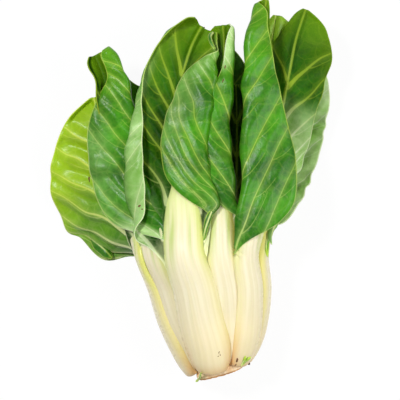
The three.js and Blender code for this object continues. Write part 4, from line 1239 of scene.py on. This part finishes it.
# ---- The piece list -----------------------------------------------------------------------
# For each tone, the finish of the side that faces out of the head, then of the side that faces
# into it. The deep underside is darker than the deep upper side: painted shade for the hollows
# between leaves where that side shows.
LEAF_MATERIALS = {
    "deep": (
        fresh_leaf("chard_leaf_underside", dark="#123b00", light="#2a6204", vein="#8fa82c", tip="#6f960c",
                   tip_from=0.84, gloss=0.08, rough=0.42, foot_pale=0.9),
        fresh_leaf("chard_leaf_upper_side", dark="#1c5700", light="#3f8a0a", vein="#adc650", tip="#5f9a10",
                   tip_from=0.84, gloss=0.21, rough=0.26, foot_pale=0.0),
    ),
    "light": (
        fresh_leaf("young_chard_underside", dark="#43880f", light="#74ae1e", vein="#dbe56a", tip="#a9c60e",
                   tip_from=0.6, gloss=0.26, rough=0.24, foot_pale=0.9),
        fresh_leaf("young_chard_upper_side", dark="#4a8a0c", light="#80b01c", vein="#d8e570", tip="#8fb414",
                   tip_from=0.6, gloss=0.2, rough=0.2, foot_pale=0.0),
    ),
    "sprout": (
        fresh_leaf("chard_sprout", dark="#467f0c", light="#72ab1e", vein="#b9d255", tip="#9cc032",
                   tip_from=0.6, gloss=0.15, rough=0.3, foot_pale=0.0),
    ) * 2,
}
FINE, PLAIN = 1.5, 2.6       # between the points of leaves in view, and of hidden ones
HIDDEN = ("heart_leaf_upper", "heart_leaf_left", "heart_leaf_lower")


def declare(piece, node, materials=(), stands_for=True):
    """Gives a piece its materials and attaches it to the root body; most stand for a CAD node, which is then
    hidden.
    """
    for material in materials:
        piece.data.materials.append(material)
    if stands_for:
        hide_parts(node)
    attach(piece, "root")


leaf_pieces = []
for leaf in LEAVES:
    piece = leaf_piece(leaf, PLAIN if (leaf["name"] in HIDDEN) else FINE)
    declare(piece, leaf["name"], LEAF_MATERIALS[LOOKS[leaf["name"]].get("tone", "deep")])
    leaf_pieces.append(piece)
for name, (leaf_name, tone, pale, rows) in CURLS.items():
    declare(ribbon(name, rows, pale), leaf_name, LEAF_MATERIALS[tone][1:] * 2, stands_for=False)
for node, leaflets in SPROUTS.items():
    for number, rows in enumerate(leaflets, 1):
        declare(ribbon(f"{node}_leaflet_{number}", rows), node, LEAF_MATERIALS["sprout"])
torn = dried_tissue("torn_chard_fibres", "#f2cd9c", "#bf8a52")
scarred = dried_tissue("dried_chard_scars", "#7d4d20", "#331c0b")
declare(stem_piece(), "stem", [cut_stem_tissue()])
declare(fibre_piece(torn), "stem", stands_for=False)
declare(scar_piece("dry_scars", leaf_pieces), "front_leaf", [scarred], stands_for=False)


# ---- The studio, in metres and watts --------------------------------------------------------
# A pale floor that shows white but keeps a faint shadow, and soft light from the upper left.
FLOOR_REACH = 3
FLOOR_GLOW = 0.94            # share of the floor's look that is plain white
ROOM_LIGHT = 0.32            # strength of the light that the white room sheds
CAMERA_PLACE = (0.0096, -0.0078, 1.445)
CAMERA_LENS, CAMERA_SENSOR = 140, 36    # mm


def seen_rays(tree):
    """1 for rays that look at a thing, straight, mirrored or through another, and 0 for light."""
    path = add(tree, "ShaderNodeLightPath").outputs
    seen = path["Is Camera Ray"]
    for other in ("Is Glossy Ray", "Is Transmission Ray"):
        seen = add(tree, "ShaderNodeMath", {0: seen, 1: path[other]}, operation="MAXIMUM").outputs[0]
    return seen


def white_floor():
    """A sheet of white paper under the head."""
    mesh = bpy.data.meshes.new("floor")
    corners = [(x * FLOOR_REACH, y * FLOOR_REACH, 0) for x, y in ((-1, -1), (1, -1), (1, 1), (-1, 1))]
    mesh.from_pydata(corners, [], [(0, 1, 2, 3)])
    floor = place_object("floor", mesh)
    material, tree, surface = new_material("white_paper_sweep")
    paper = add(tree, "ShaderNodeBsdfDiffuse", {"Color": (0.9, 0.9, 0.9, 1)})
    glow = add(tree, "ShaderNodeEmission", {"Color": (1, 1, 1, 1), "Strength": 1.0})
    share = add(tree, "ShaderNodeMath", {0: seen_rays(tree), 1: FLOOR_GLOW}, operation="MULTIPLY")
    mixed = add(tree, "ShaderNodeMixShader", {0: share.outputs[0], 1: paper.outputs[0], 2: glow.outputs[0]})
    tree.links.new(mixed.outputs[0], surface)
    mesh.materials.append(material)
    floor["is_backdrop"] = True


def softbox(name, place, size, power):
    """A round lamp that looks at the middle of the head."""
    light = bpy.data.lights.new(name, "AREA")
    light.shape = "DISK"
    light.size = size
    light.energy = power
    lamp = place_object(name, light)
    lamp.location = place
    lamp.rotation_euler = Vector(place).to_track_quat("Z", "Y").to_euler()


def white_world():
    """White all round, but only a soft light from it."""
    world = bpy.data.worlds.new("white_room")
    world.use_nodes = True
    tree = world.node_tree
    tree.nodes.clear()
    strength = add(tree, "ShaderNodeMapRange", {
        "Value": seen_rays(tree), "To Min": ROOM_LIGHT, "To Max": 1.0})
    room = add(tree, "ShaderNodeBackground", {"Color": (1, 1, 1, 1), "Strength": strength.outputs[0]})
    output = add(tree, "ShaderNodeOutputWorld")
    tree.links.new(room.outputs[0], output.inputs["Surface"])
    bpy.context.scene.world = world


def camera_above():
    """Straight above, far enough for little perspective."""
    lens = bpy.data.cameras.new("camera")
    lens.sensor_width = CAMERA_SENSOR
    lens.lens = CAMERA_LENS
    lens.clip_end = 10
    camera = place_object("camera", lens)
    camera.location = CAMERA_PLACE
    bpy.context.scene.camera = camera


white_floor()
white_world()
camera_above()
softbox("key_upper_left", (-0.54, 0.36, 1.3), 0.26, 15)
softbox("fill_right", (0.9, -0.1, 1.0), 0.9, 10.5)
bpy.context.scene.view_settings.view_transform = "Standard"

{"cad": cad_box, "visual": [list(corner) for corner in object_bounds()]}
